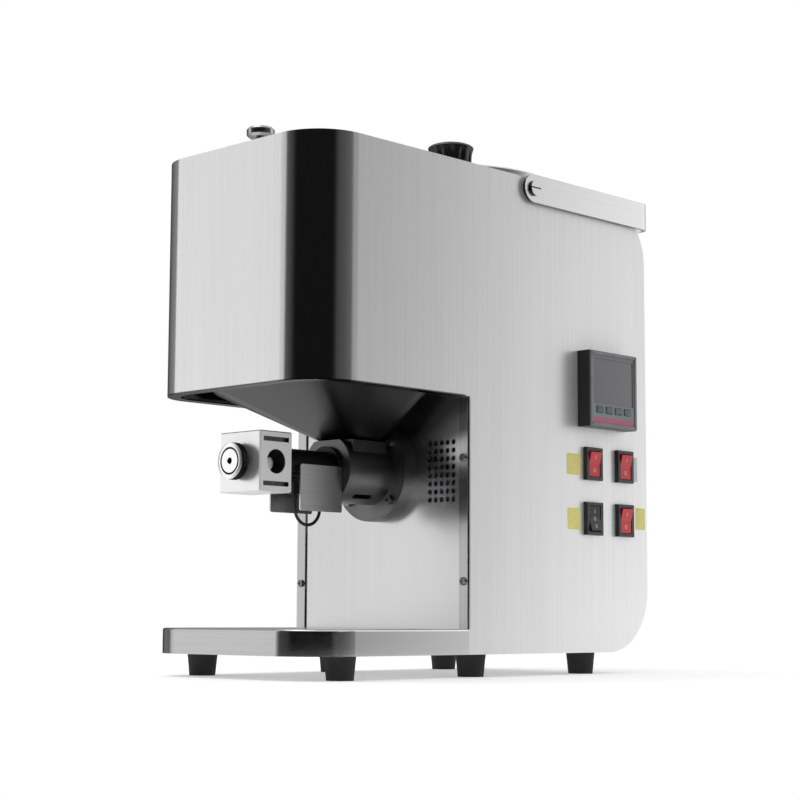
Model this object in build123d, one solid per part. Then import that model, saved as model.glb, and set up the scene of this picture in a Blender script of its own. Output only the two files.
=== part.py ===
from build123d import *
import os
from math import acos, cos, pi, radians, sin, sqrt, tan

# Screw oil press, millimetres. x = 0 is the middle plane, y = 0 the front of the column panel,
# z = 0 the floor. The front is -Y and the control side is +X.

# Body
body_width = 222.0
head_reach = 186.0
column_depth = 257.0
foot_height = 20.0
base_height = 22.0
head_underside = 246.0
body_top = 457.0
sheet = 1.5
front_corner_radius = 46.0
rear_corner_radius = 60.0
hem_width = 12.0
return_flange = 12.0
bend_radius = 2.0

# Feet
foot_top_radius = 13.5
foot_bottom_radius = 11.5
foot_bore = 3.0
foot_recess_radius = 6.5
foot_recess_depth = 9.0
foot_inset = 23.0
front_foot_setback = 51.0
middle_foot_setback = 26.0
rear_foot_setback = 76.0

# Vents of the column panel and of the rear cover
vent_columns = 5
vent_rows = 8
vent_pitch_x = 7.1
vent_pitch_z = 7.25
vent_radius = 2.4
vent_side_margin = 32.8
vent_centre_z = 181.5
rear_slot_rows = 6
rear_slot_columns = 3
rear_slot_length = 34.0
rear_slot_width = 5.0
rear_slot_pitch_x = 46.0
rear_slot_pitch_z = 12.0
rear_slot_centre_z = 120.0

# Screws of the sheet panels
screw_head_radius = 3.6
screw_head_height = 2.0
screw_shank_radius = 1.75
screw_hole_clearance = 0.1
screw_recess_length = 4.4
screw_recess_width = 1.0
screw_recess_depth = 1.1
flange_screw_heights = (83.5, 192.0)
flange_screw_inset = 7.0

# Press head, all on one horizontal axis
axis_height = 183.5
barrel_radius = 30.0
barrel_length = 54.0
flange_radius = 45.0
flange_thickness = 14.0
flange_bolt_circle = 37.0
flange_bolt_count = 4
flange_bolt_turn = 45.0
bolt_head_radius = 4.2
bolt_head_height = 4.0
bolt_shank_radius = 2.5
bolt_clearance = 0.1
bolt_grip = 6.0
feed_boss_height = 25.5
feed_boss_wall = 4.0
oil_slot_length = 22.0
oil_slot_width = 6.0
oil_slot_angle = 35.0
cage_radius = 15.0
cage_length = 66.0
collar_radius = 20.0
collar_length = 3.5
collar_flat = 18.5
cage_slot_count = 7
cage_slot_width = 1.4
cage_slot_length = 42.0
cage_slot_span = 120.0

# Press screw
screw_radius = 10.5
screw_clearance = 0.5
screw_core_rear = 6.0
screw_core_front = 8.5
flight_pitch = 18.0
flight_width = 3.4
flight_sink = 2.0
screw_tip_length = 8.0
screw_tip_radius = 6.0
screw_tang = 5.0
tang_length = 20.0
fit_gap = 0.05
running_gap = 0.3

# End block, choke cone and adjusting knob
block_size = 52.0
block_length = 37.0
block_edge = 1.0
block_groove_height = 4.0
block_groove_depth = 3.0
block_groove_margin = 4.0
block_groove_offset = 19.0
cake_hole_radius = 10.5
stem_radius = 5.0
cone_radius = 9.0
cone_tip_radius = 4.0
cone_length = 12.0
cone_pin_radius = 3.0
cone_pin_length = 7.0
knob_radius = 16.0
knob_length = 9.0
knob_gap = 2.5
knob_ribs = 18
knob_rib_depth = 0.8
knob_ring_radius = 11.0
knob_ring_width = 1.8
knob_ring_depth = 1.2
knob_socket_radius = 3.0
knob_socket_depth = 5.0

# Guard plates and the temperature probe under the cage
guard_thickness = 1.5
guard_drop = 40.0
guard_rise = 0.5
guard_length = 50.0
guard_setback = 0.5
guard_corner_radius = 2.0
probe_across_flats = 9.0
probe_height = 10.0
probe_seat = 2.0
probe_lead_radius = 1.4
probe_lead_drop = 16.0
probe_spacing = 30.0
probe_collar_gap = 0.5

# Hopper and its lid
hopper_side_gap = 9.5
hopper_front = -172.0
hopper_rear = -16.0
hopper_shoulder = 252.0
hopper_front_shoulder = 272.0
hopper_low_front = -136.0
hopper_corner_radius = 40.0
outlet_half_width = 22.0
outlet_front = -57.0
outlet_rear = -20.0
outlet_corner_radius = 7.0
hopper_rim = 6.0
hopper_lid_thickness = 2.0
hopper_lid_overlap = 5.0
lid_knob_radius = 12.5
lid_knob_height = 9.0
lid_knob_neck_radius = 4.5
lid_knob_neck_height = 11.0
lid_knob_setback = 20.0
hinge_radius = 3.2
hinge_pin_radius = 1.5
hinge_length = 30.0
hinge_side_margin = 38.0
hinge_knuckle_gap = 0.4
hinge_leaf_depth = 5.0
lid_rear_radius = 8.0

# Vacuum filter pot, its perforated plate, gasket, lid and knob
filter_lid_front = -2.0
filter_lid_rear_gap = 5.0
filter_lid_side_gap = 14.0
filter_lid_overhang = 4.0
pot_flange_width = 9.0
pot_depth = 100.0
pot_ledge_width = 5.0
pot_ledge_height = 56.0
plate_slot_count = 12
plate_slot_width = 3.0
plate_slot_inner = 22.0
plate_slot_margin = 18.0
plate_clearance = 0.6
nozzle_radius = 5.0
nozzle_bore = 3.2
nozzle_length = 12.0
nozzle_margin = 29.0
gasket_width = 6.0
filter_lid_rise = 11.0
filter_knob_radius = 22.5
filter_knob_height = 33.0
filter_knob_neck_radius = 9.0
filter_knob_neck_height = 10.0
filter_knob_flutes = 12
filter_knob_flute_radius = 3.0

# Carry handle
handle_thickness = 2.5
handle_width = 26.6
handle_side_gap = 1.5
handle_pivot_y = 84.3
handle_pivot_drop = 10.0
handle_rear_gap = 2.5
handle_bend_radius = 10.0
pivot_shank_radius = 4.0
pivot_head_radius = 7.0
pivot_head_height = 2.6
pivot_slot_width = 1.4
pivot_slot_depth = 1.0
pivot_end_gap = 0.3
pivot_nut_height = 4.0

# Temperature controller on the side panel
controller_size = 72.0
controller_proud = 14.7
controller_setback = 70.0
controller_centre_z = 266.6
controller_body = 67.0
controller_depth = 62.0
controller_cutout_gap = 0.5
window_width = 60.0
window_height = 43.0
window_rise = 7.5
window_recess = 1.6
window_thickness = 1.0
key_width = 9.6
key_height = 6.0
key_pitch = 14.0
key_count = 4
key_drop = 19.5
key_proud = 1.0
key_travel = 0.6
key_length = 4.0
key_gap = 0.35

# Rocker switches on the side panel
switch_width = 25.5
switch_height = 31.0
upper_switch_height = 196.5
lower_switch_height = 144.8
front_switch_setback = 85.5
rear_switch_setback = 37.5
bezel_proud = 4.0
switch_wall = 2.9
switch_depth = 24.0
rocker_radius = 12.0
rocker_gap = 0.4
rocker_tilt = 7.0
rocker_crown = 3.4
rocker_depth = 7.0
rocker_pivot_sink = 2.5
rocker_pin_radius = 1.4
rocker_pin_length = 1.6
rocker_cavity_gap = 1.5

# Gearbox behind the column panel
gear_module = 1.25
wheel_teeth = 60
pinion_teeth = 17
pressure_angle = 20.0
mesh_angle = 90.0
gear_backlash = 0.25
tip_factor = 0.9
root_factor = 1.25
output_wheel_width = 14.0
idler_wheel_width = 12.0
pinion_overhang = 2.0
gear_side_gap = 4.0
case_wall = 4.0
case_front_wall = 8.0
cover_thickness = 8.0
case_room = 5.0
shaft_radius = 11.0
shaft_tail_radius = 7.0
idler_shaft_radius = 6.0
bearing_ring = 6.0

# Motor
motor_radius = 48.0
motor_length = 120.0
motor_wall = 3.5
motor_bell = 8.0
motor_shaft_radius = 5.0
stator_inner_radius = 31.0
rotor_gap = 1.0
stator_length = 70.0
fan_radius = 40.0
fan_hub_radius = 12.0
fan_blades = 8
fan_blade_width = 14.0
fan_blade_thickness = 2.0
fan_blade_pitch = 30.0
fan_gap = 5.0
cradle_length = 18.0
cradle_half_width = 34.0
cradle_wrap = 14.0
cradle_inset = 22.0

# Vacuum pump on its shelf
shelf_side_gap = 4.0
shelf_length = 125.0
shelf_flange = 26.0
pump_head_width = 50.0
pump_head_length = 40.0
pump_head_height = 52.0
pump_motor_radius = 20.0
pump_motor_length = 62.0
pump_setback = 18.0
port_radius = 5.0
port_height = 8.0
hose_wall = 2.0
hose_bend_radius = 13.0
hose_overlap = 6.0
hose_rise = 49.0
hose_gap = 0.2

# Mains inlet in the rear cover
inlet_width = 28.0
inlet_height = 20.5
inlet_flange_width = 50.0
inlet_flange_height = 26.0
inlet_flange_thickness = 3.0
inlet_depth = 26.0
inlet_wall = 2.5
inlet_side_margin = 49.0
inlet_centre_z = 215.0
inlet_pin_radius = 1.4
inlet_pin_length = 16.0
inlet_pin_pitch = 7.0
inlet_pin_offset = 1.75

# Derived places
half_width = body_width / 2
inner_half_width = half_width - sheet
foot_rows = (front_foot_setback - head_reach, middle_foot_setback, column_depth - rear_foot_setback)
vent_centre_x = inner_half_width - vent_side_margin
hopper_half_width = inner_half_width - hopper_side_gap
hinge_offset = hopper_half_width - hinge_side_margin
base_bottom = foot_height
base_top = base_bottom + base_height
floor_top = base_bottom + sheet
panel_back = sheet
barrel_front = -flange_thickness - barrel_length
probe_setback = collar_length + probe_collar_gap + probe_across_flats / 2
cage_front = barrel_front - cage_length
block_front = cage_front - block_length
screw_bore = screw_radius + screw_clearance
cake_hole_y = block_front + block_length / 2
cone_base_y = cake_hole_y - cone_length / 2
cone_tip_y = cone_base_y + cone_length
knob_back_y = block_front - knob_gap
knob_front_y = knob_back_y - knob_length
outlet_height = axis_height + feed_boss_height
wheel_pitch_radius = gear_module * wheel_teeth / 2
pinion_pitch_radius = gear_module * pinion_teeth / 2
centre_distance = wheel_pitch_radius + pinion_pitch_radius
wheel_tip_radius = wheel_pitch_radius + tip_factor * gear_module
pinion_tip_radius = pinion_pitch_radius + tip_factor * gear_module
idler_height = axis_height - centre_distance
motor_height = idler_height - centre_distance
output_wheel_y = panel_back + case_front_wall + gear_side_gap
idler_wheel_y = output_wheel_y + output_wheel_width + gear_side_gap
case_back = idler_wheel_y + idler_wheel_width + gear_side_gap
cover_back = case_back + cover_thickness
motor_back = cover_back + motor_length
case_half_width = wheel_tip_radius + case_room + case_wall
case_top = axis_height + wheel_tip_radius + case_room + case_wall
case_bottom = motor_height - pinion_tip_radius - case_room - case_wall
filter_lid_back = column_depth - rear_corner_radius - filter_lid_rear_gap
filter_lid_radius = min(half_width - filter_lid_side_gap, (filter_lid_back - filter_lid_front) / 2)
pot_centre = (filter_lid_front + filter_lid_back) / 2
pot_flange_radius = filter_lid_radius - filter_lid_overhang
pot_radius = pot_flange_radius - pot_flange_width
plate_slot_outer = pot_radius - plate_slot_margin
pot_top = body_top + sheet
pot_bottom = pot_top - pot_depth
filter_lid_top = body_top + filter_lid_rise
filter_lid_under = filter_lid_top - sheet
knob_neck_top = filter_lid_top + filter_knob_neck_height
lid_back = hopper_rear + hopper_lid_overlap - sheet
hinge_y = lid_back + hinge_radius + hinge_knuckle_gap
hinge_height = body_top + hopper_lid_thickness + hinge_radius
handle_pivot_height = body_top - handle_pivot_drop
handle_inner = half_width + handle_side_gap
handle_outer = handle_inner + handle_thickness
handle_rear = column_depth + handle_rear_gap + handle_thickness
controller_centre_y = column_depth - controller_setback
switch_rows = (upper_switch_height, lower_switch_height)
switch_columns = (column_depth - front_switch_setback, column_depth - rear_switch_setback)
controller_face = half_width + controller_proud
bezel_face = half_width + bezel_proud
rocker_pivot_x = bezel_face - rocker_pivot_sink
nozzle_y = pot_centre + pot_radius - nozzle_margin
nozzle_end = pot_bottom - nozzle_length
shelf_half_width = half_width - controller_depth - shelf_side_gap
shelf_top = nozzle_end - hose_rise - port_height - pump_head_height
shelf_height = shelf_top - sheet
inlet_centre_x = inlet_side_margin - half_width
rear_inner = column_depth - sheet
pump_rear = rear_inner - sheet - pump_setback
pump_front = pump_rear - pump_head_length
pump_port_y = (pump_front + pump_rear) / 2
pump_port_top = shelf_top + pump_head_height + port_height

# The frame's origin is under the middle of the whole press
reach_right = controller_face + key_proud
reach_left = handle_outer + pivot_end_gap + pivot_head_height
origin_x = (reach_right - reach_left) / 2
origin_y = (handle_rear - head_reach) / 2


def save(name, *shapes):
    """Write one node, a solid or a group of them, with the frame's origin under the middle of the press."""
    place = Pos(-origin_x, -origin_y, 0)
    export_step(Compound([place * shape for shape in shapes]), f"parts/{name}.step")


def block(x, y, z):
    """A box between two places on each axis."""
    size = (x[1] - x[0], y[1] - y[0], z[1] - z[0])
    return Pos((x[0] + x[1]) / 2, (y[0] + y[1]) / 2, (z[0] + z[1]) / 2) * Box(*size)


def rod_x(radius, x, y, z):
    """A round bar along X between two places."""
    return Pos((x[0] + x[1]) / 2, y, z) * Rot(0, 90, 0) * Cylinder(radius, x[1] - x[0])


def rod_y(radius, y, x=0.0, z=axis_height):
    """A round bar along Y between two places, on the press axis unless told otherwise."""
    return Pos(x, (y[0] + y[1]) / 2, z) * Rot(90, 0, 0) * Cylinder(radius, y[1] - y[0])


def rod_z(radius, x, y, z):
    """An upright round bar between two heights."""
    return Pos(x, y, (z[0] + z[1]) / 2) * Cylinder(radius, z[1] - z[0])


def along_y(sketch, y):
    """Extrude a sketch drawn in X and Z between two places on Y."""
    return Pos(0, y[1], 0) * extrude(Plane.XZ * sketch, y[1] - y[0])


def along_x(sketch, x):
    """Extrude a sketch drawn in Y and Z between two places on X."""
    return Pos(x[0], 0, 0) * extrude(Plane.YZ * sketch, x[1] - x[0])


def outline(points):
    """A flat face inside straight edges."""
    return make_face(Polyline(*points, close=True))


def rounded_plan(x, y, radius):
    """A plan rectangle with all four corners rounded."""
    return Pos((x[0] + x[1]) / 2, (y[0] + y[1]) / 2) * RectangleRounded(x[1] - x[0], y[1] - y[0], radius)


def front_rounded_plan(half, front, back, radius):
    """A plan rectangle with only its two front corners rounded."""
    face = outline([(-half, front), (half, front), (half, back), (-half, back)])
    return fillet(face.vertices().sort_by(Axis.Y)[:2], radius)


def revolve_z(points, x, y):
    """Turn a profile of radius and height about an upright axis."""
    return Pos(x, y, 0) * revolve(Plane.XZ * outline(points), Axis.Z)


def revolve_y(points):
    """Turn a profile of radius and y about the press axis."""
    turned = revolve(outline(points), Axis.Y)
    return Pos(0, 0, axis_height) * turned


def both_sides(shape):
    """A piece and its mirror image across the middle plane."""
    return [shape, mirror(shape, Plane.YZ)]


# Sheet-metal body

def side_face(inset):
    """Side view of head and column, drawn in Y and Z, drawn in by the inset."""
    front = -head_reach + inset
    rear = column_depth - inset
    top = body_top - inset
    bottom = base_bottom + inset
    face = outline([(front, head_underside), (front, top), (rear, top), (rear, bottom),
                    (-sheet, bottom), (-sheet, head_underside)])
    rear_corners = face.vertices().sort_by(Axis.X)[-2:]
    return fillet(rear_corners, rear_corner_radius - inset)


def control_cutouts():
    """Openings of the control side for the controller and the four switches."""
    reach = (inner_half_width - sheet, half_width + sheet)
    size = controller_body + 2 * controller_cutout_gap
    cuts = [along_x(Pos(controller_centre_y, controller_centre_z) * Rectangle(size, size), reach)]
    for y in switch_columns:
        for z in switch_rows:
            opening = Rectangle(switch_width - 2 * switch_wall, switch_height - 2 * switch_wall)
            cuts.append(along_x(Pos(y, z) * opening, reach))
    return cuts


def flange_screw_places():
    """Places of the screws through the return flanges of the side panels."""
    offset = half_width - flange_screw_inset
    return [(x, z) for x in (-offset, offset) for z in flange_screw_heights]


def flange_bend():
    """Waste outside the rounded bend between a side panel and its return flange."""
    x = half_width - bend_radius
    y = bend_radius - sheet
    heights = (base_top, head_underside)
    return block((x, half_width + sheet), (-2 * sheet, y), heights) - rod_z(bend_radius, x, y, heights)


def outer_wrap():
    """Head front and both sides, bent from one sheet, with hem and return flanges."""
    back = column_depth + sheet
    wall = front_rounded_plan(half_width, -head_reach, back, front_corner_radius)
    inner_radius = front_corner_radius - sheet
    room = front_rounded_plan(inner_half_width, -head_reach + sheet, back + sheet, inner_radius)
    height = body_top - base_bottom
    shell = Pos(0, 0, base_bottom) * extrude(wall - room, height)
    wrap = shell & along_x(side_face(0), (-half_width, half_width))
    hem_plan = front_rounded_plan(half_width, -head_reach, -sheet, front_corner_radius)
    hem_hole = front_rounded_plan(half_width - hem_width, -head_reach + hem_width, 0,
                                  front_corner_radius - hem_width)
    wrap += Pos(0, 0, head_underside) * extrude(hem_plan - hem_hole, sheet)
    flange = block((half_width - return_flange, half_width), (-sheet, 0), (base_top, head_underside + sheet))
    wrap += both_sides(flange)
    wrap -= both_sides(flange_bend())
    wrap -= control_cutouts()
    hole = pivot_shank_radius + bolt_clearance
    wrap -= rod_x(hole, (-handle_outer, handle_outer), handle_pivot_y, handle_pivot_height)
    wrap -= [rod_y(screw_shank_radius + screw_hole_clearance, (-2 * sheet, sheet), x, z)
             for x, z in flange_screw_places()]
    return wrap


def top_plate():
    """Flat top with the hopper mouth, the pot's round opening and its front corners rounded."""
    plan = front_rounded_plan(inner_half_width, -head_reach + sheet, column_depth - rear_corner_radius,
                              front_corner_radius - sheet)
    mouth = rounded_plan((-hopper_half_width + sheet, hopper_half_width - sheet),
                         (hopper_front + sheet, hopper_rear - sheet), hopper_corner_radius - sheet)
    plan = plan - mouth - Pos(0, pot_centre) * Circle(pot_radius + sheet)
    return Pos(0, 0, body_top - sheet) * extrude(plan, sheet)


def rear_slots():
    """Air slots of the rear cover, in rows and columns."""
    slot = SlotOverall(rear_slot_length, rear_slot_width)
    places = GridLocations(rear_slot_pitch_x, rear_slot_pitch_z, rear_slot_columns, rear_slot_rows)
    pattern = [Pos(0, rear_slot_centre_z) * place * slot for place in places]
    return [along_y(piece, (rear_inner - sheet, column_depth + sheet)) for piece in pattern]


def rear_cover():
    """Back sheet with a large bend at the top and at the bottom."""
    width = (-inner_half_width, inner_half_width)
    cover = along_x(side_face(0) - side_face(sheet), width)
    bend_start = column_depth - rear_corner_radius
    cover &= block(width, (bend_start, column_depth), (base_bottom, body_top))
    cover -= rear_slots()
    opening = Pos(inlet_centre_x, inlet_centre_z) * Rectangle(inlet_width + 2 * inlet_wall,
                                                              inlet_height + 2 * inlet_wall)
    cover -= along_y(opening, (rear_inner - sheet, column_depth + sheet))
    return cover


def foot_places():
    """Places of the six feet in plan."""
    offset = half_width - foot_inset
    return [(x, y) for y in foot_rows for x in (-offset, offset)]


def bottom_plate():
    """Flat floor of base and column that carries the feet and the motor."""
    plan = front_rounded_plan(inner_half_width, -head_reach + sheet, column_depth - rear_corner_radius,
                              front_corner_radius - sheet)
    plate = Pos(0, 0, base_bottom) * extrude(plan, sheet)
    plate -= [rod_z(foot_bore, x, y, (base_bottom - sheet, floor_top + sheet)) for x, y in foot_places()]
    return plate


def base_tray():
    """Low base under the head, an upturned tray with rounded front corners."""
    plan = front_rounded_plan(half_width, -head_reach, -sheet, front_corner_radius)
    room = front_rounded_plan(inner_half_width, -head_reach + sheet, 0, front_corner_radius - sheet)
    tray = Pos(0, 0, base_bottom) * extrude(plan, base_height)
    top_edges = tray.faces().sort_by(Axis.Z)[-1].edges()
    tray = fillet(top_edges.sort_by(Axis.Y)[:-1], bend_radius)
    return tray - Pos(0, 0, base_bottom - sheet) * extrude(room, base_height)


def flange_bolt_places():
    """Places of the bolts that hold the feed housing."""
    turns = [radians(flange_bolt_turn + 360 / flange_bolt_count * i) for i in range(flange_bolt_count)]
    return [(flange_bolt_circle * cos(a), axis_height + flange_bolt_circle * sin(a)) for a in turns]


def column_panel():
    """Upright front panel of the column with vents, shaft hole and bolt holes."""
    panel = block((-inner_half_width, inner_half_width), (0, sheet), (floor_top, body_top - sheet))
    through = (-sheet, 2 * sheet)
    panel -= rod_y(shaft_radius + bearing_ring - sheet, through)
    bolt_hole = bolt_shank_radius + bolt_clearance
    screw_hole = screw_shank_radius + screw_hole_clearance
    panel -= [rod_y(bolt_hole, through, x, z) for x, z in flange_bolt_places()]
    panel -= [rod_y(screw_hole, through, x, z) for x, z in flange_screw_places()]
    holes = [Pos(vent_centre_x, vent_centre_z) * place * Circle(vent_radius)
             for place in GridLocations(vent_pitch_x, vent_pitch_z, vent_columns, vent_rows)]
    return panel - [along_y(hole, through) for hole in holes]


def rubber_feet():
    """Tapered feet with a screw hole and a recess for the screw head."""
    profile = [(foot_bore, foot_recess_depth), (foot_recess_radius, foot_recess_depth),
               (foot_recess_radius, 0), (foot_bottom_radius, 0), (foot_top_radius, base_bottom),
               (foot_bore, base_bottom)]
    return [revolve_z(profile, x, y) for x, y in foot_places()]


def foot_screws():
    """Screws up through the feet with their nuts on the floor plate."""
    shank = foot_bore - bolt_clearance
    nut = foot_recess_radius - bolt_clearance
    head = foot_recess_depth - bolt_head_height
    top = floor_top + bolt_head_height
    profile = [(0, head), (nut, head), (nut, foot_recess_depth), (shank, foot_recess_depth),
               (shank, floor_top), (nut, floor_top), (nut, top), (0, top)]
    return [revolve_z(profile, x, y) for x, y in foot_places()]


def panel_screws():
    """Pan-head screws through the return flanges into the column panel."""
    screws = []
    for x, z in flange_screw_places():
        head = rod_y(screw_head_radius, (-sheet - screw_head_height, -sheet), x, z)
        head = fillet(head.edges().group_by(Axis.Y)[0], screw_head_height / 2)
        cross = Rectangle(screw_recess_length, screw_recess_width)
        cross += Rectangle(screw_recess_width, screw_recess_length)
        top = -sheet - screw_head_height
        head -= along_y(Pos(x, z) * cross, (top, top + screw_recess_depth))
        screws.append(head + rod_y(screw_shank_radius, (-sheet, 2 * sheet), x, z))
    return screws


# Press head

def feed_barrel():
    """Barrel with the flat feed boss on top, the throat and the oil slot below."""
    barrel = rod_y(barrel_radius, (barrel_front, -flange_thickness))
    boss_x = outlet_half_width + feed_boss_wall
    boss_y = (outlet_front - feed_boss_wall, outlet_rear + sheet)
    over = (outlet_height, axis_height + flange_radius)
    barrel += block((-boss_x, boss_x), boss_y, (axis_height, outlet_height))
    barrel -= block((-boss_x, boss_x), (barrel_front, boss_y[1]), over)
    barrel -= rod_y(screw_bore, (barrel_front, -flange_thickness))
    throat_y = (outlet_front + feed_boss_wall, outlet_rear - feed_boss_wall)
    throat = rounded_plan((-screw_bore, screw_bore), throat_y, outlet_corner_radius)
    barrel -= Pos(0, 0, axis_height) * extrude(throat, flange_radius)
    slot = block((-oil_slot_width / 2, oil_slot_width / 2), (-oil_slot_length / 2, oil_slot_length / 2),
                 (-flange_radius, 0))
    place = Pos(0, (barrel_front - flange_thickness) / 2, axis_height) * Rot(0, -oil_slot_angle, 0)
    return barrel - place * slot


def feed_flange():
    """Round flange behind the barrel with the shaft hole and the bolt holes."""
    thickness = (-flange_thickness, 0)
    flange = rod_y(flange_radius, thickness) - rod_y(shaft_radius + running_gap, thickness)
    hole = bolt_shank_radius + bolt_clearance
    return flange - [rod_y(hole, thickness, x, z) for x, z in flange_bolt_places()]


def feed_housing():
    """Barrel and flange, welded together."""
    return [feed_barrel(), feed_flange()]


def flange_bolts():
    """Socket-head bolts from the flange into the gearbox."""
    bolts = []
    for x, z in flange_bolt_places():
        top = -flange_thickness - bolt_head_height
        head = rod_y(bolt_head_radius, (top, -flange_thickness), x, z)
        socket = RegularPolygon(bolt_head_radius / 2, 6)
        head -= along_y(Pos(x, z) * socket, (top, -flange_thickness - sheet))
        bolts.append(head + rod_y(bolt_shank_radius, (-flange_thickness, panel_back + bolt_grip), x, z))
    return bolts


def press_cage():
    """Slotted strainer tube round the pressing end of the screw, with a flattened collar at the rear."""
    collar_y = (barrel_front - collar_length, barrel_front)
    levels = (axis_height - collar_radius, axis_height + collar_radius)
    collar = rod_y(collar_radius, collar_y) & block((-collar_flat, collar_flat), collar_y, levels)
    cage = rod_y(cage_radius, (cage_front, barrel_front)) + collar
    cage -= rod_y(screw_bore, (cage_front, barrel_front))
    middle = (cage_front + barrel_front) / 2
    slot = block((-cage_slot_width / 2, cage_slot_width / 2), (-cage_slot_length / 2, cage_slot_length / 2),
                 (-cage_radius - sheet, 0))
    step = cage_slot_span / (cage_slot_count - 1)
    turns = [step * i - cage_slot_span / 2 for i in range(cage_slot_count)]
    return cage - [Pos(0, middle, axis_height) * Rot(0, turn, 0) * slot for turn in turns]


def press_screw():
    """Press screw: tapered core with one helical flight, a smooth tip and a hexagonal tang."""
    rear = -flange_thickness
    tip = cone_tip_y + screw_tip_length
    tang_end = rear + tang_length
    core = revolve_y([(0, tip), (screw_tip_radius, tip), (screw_core_front, tip + screw_tip_length),
                      (screw_core_rear, rear), (0, rear)])
    start = tip + screw_tip_length
    length = rear - start - flight_width
    sink = screw_radius - screw_core_rear + flight_sink
    helix = Helix(flight_pitch, length, screw_radius - sink / 2)
    section = Plane(origin=helix @ 0, x_dir=(1, 0, 0), z_dir=helix % 0) * Rectangle(sink, flight_width)
    flight = sweep(section, path=helix, is_frenet=True)
    flight = Pos(0, rear - flight_width / 2, axis_height) * Rot(90, 0, 0) * flight
    screw = core + (flight & rod_y(screw_radius, (tip, rear)))
    tang = RegularPolygon(screw_tang, 6, major_radius=False)
    return screw + along_y(Pos(0, axis_height) * tang, (rear, tang_end))


def end_block():
    """Square aluminium end block with the cross hole where the pressed cake leaves."""
    half = block_size / 2
    body = block((-half, half), (block_front, cage_front), (axis_height - half, axis_height + half))
    body = chamfer(body.edges(), block_edge)
    body -= rod_x(cake_hole_radius, (-half, half), cake_hole_y, axis_height)
    body -= rod_y(screw_bore, (cake_hole_y, cage_front))
    body -= rod_y(stem_radius + fit_gap, (block_front, cake_hole_y))
    body -= rod_y(cone_radius + running_gap, (cake_hole_y - cake_hole_radius + block_edge, cake_hole_y))
    groove_y = (block_front + block_groove_margin, cage_front - block_groove_margin)
    for side in (-1, 1):
        depth = sorted((side * half, side * (half - block_groove_depth)))
        for level in (-1, 1):
            low = axis_height + level * block_groove_offset - block_groove_height / 2
            body -= block(depth, groove_y, (low, low + block_groove_height))
    return body


def choke_cone():
    """Cone that narrows the way out of the cage, carried on the adjuster's pin."""
    cone = revolve_y([(0, cone_base_y), (cone_radius, cone_base_y), (cone_tip_radius, cone_tip_y),
                      (0, cone_tip_y)])
    hole_end = cone_base_y + cone_pin_length + running_gap
    return cone - rod_y(cone_pin_radius + fit_gap, (cone_base_y, hole_end))


def adjuster_knob():
    """Ribbed knob with its threaded stem and the pin that carries the cone."""
    knob = rod_y(knob_radius, (knob_front_y, knob_back_y))
    rib = block((-knob_rib_depth, knob_rib_depth), (knob_front_y + knob_rib_depth, knob_back_y),
                (-knob_rib_depth, knob_rib_depth))
    for i in range(knob_ribs):
        turn = Pos(0, 0, axis_height) * Rot(0, 360 / knob_ribs * i, 0)
        knob -= turn * Pos(0, 0, knob_radius) * Rot(0, 45, 0) * rib
    outer = knob_ring_radius + knob_ring_width / 2
    ring = Circle(outer) - Circle(outer - knob_ring_width)
    knob -= along_y(Pos(0, axis_height) * ring, (knob_front_y, knob_front_y + knob_ring_depth))
    knob += rod_y(stem_radius, (knob_back_y, cone_base_y - running_gap))
    knob += rod_y(cone_pin_radius, (cone_base_y - running_gap, cone_base_y + cone_pin_length))
    return knob - rod_y(knob_socket_radius, (knob_front_y, knob_front_y + knob_socket_depth))


def oil_guards():
    """Two upright sheet plates on the collar's flats that keep the oil in a narrow curtain."""
    back = barrel_front - guard_setback
    plate = block((collar_flat, collar_flat + guard_thickness), (back - guard_length, back),
                  (axis_height - guard_drop, axis_height + guard_rise))
    corners = plate.edges().filter_by(Axis.X)
    return both_sides(fillet(corners, guard_corner_radius))


def probe_places():
    """Places along Y of the probe and of the clip that holds its lead."""
    back = barrel_front - probe_setback
    return [back - probe_spacing, back]


def probe_fittings():
    """Hexagonal probe and its lead clip, seated on the underside of the cage."""
    low = axis_height - cage_radius - probe_height
    cage = rod_y(cage_radius, (cage_front, barrel_front))
    fittings = []
    for y in probe_places():
        nut = RegularPolygon(probe_across_flats / 2, 6, major_radius=False)
        fitting = Pos(0, y, low) * extrude(nut, probe_height + probe_seat) - cage
        fittings.append(fitting - rod_z(probe_lead_radius, 0, y, (low, low + probe_height / 2)))
    return fittings


def probe_lead():
    """Short lead that hangs in a loop from the probe to its clip."""
    front, back = probe_places()
    top = axis_height - cage_radius - probe_height / 2
    low = top - probe_lead_drop
    radius = probe_spacing / 2
    path = Line((0, front, top), (0, front, low))
    path += ThreePointArc((0, front, low), (0, front + radius, low - radius), (0, back, low))
    path += Line((0, back, low), (0, back, top))
    section = Plane(origin=(0, front, top), z_dir=(0, 0, -1)) * Circle(probe_lead_radius)
    return sweep(section, path=path)


# Hopper

def hopper_form(inset):
    """Outer form of the hopper, drawn in by the inset: outlet, two tapers and upright walls."""
    half = hopper_half_width - inset
    rear = hopper_rear - inset
    radius = hopper_corner_radius - inset
    low = rounded_plan((-outlet_half_width + inset, outlet_half_width - inset),
                       (outlet_front + inset, outlet_rear - inset), outlet_corner_radius - inset)
    middle = rounded_plan((-half, half), (hopper_low_front + inset, rear), radius)
    high = rounded_plan((-half, half), (hopper_front + inset, rear), radius)
    low = Pos(0, 0, outlet_height) * low
    middle = Pos(0, 0, hopper_shoulder) * middle
    high = Pos(0, 0, hopper_front_shoulder) * high
    form = loft([low, middle]) + loft([middle, high])
    return form + extrude(high, body_top - sheet - hopper_front_shoulder)


def hopper_half(heights):
    """Right half of the hopper's sheet between two heights."""
    shell = hopper_form(0) - hopper_form(sheet)
    return shell & block((0, half_width), (-head_reach, 0), heights)


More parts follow.
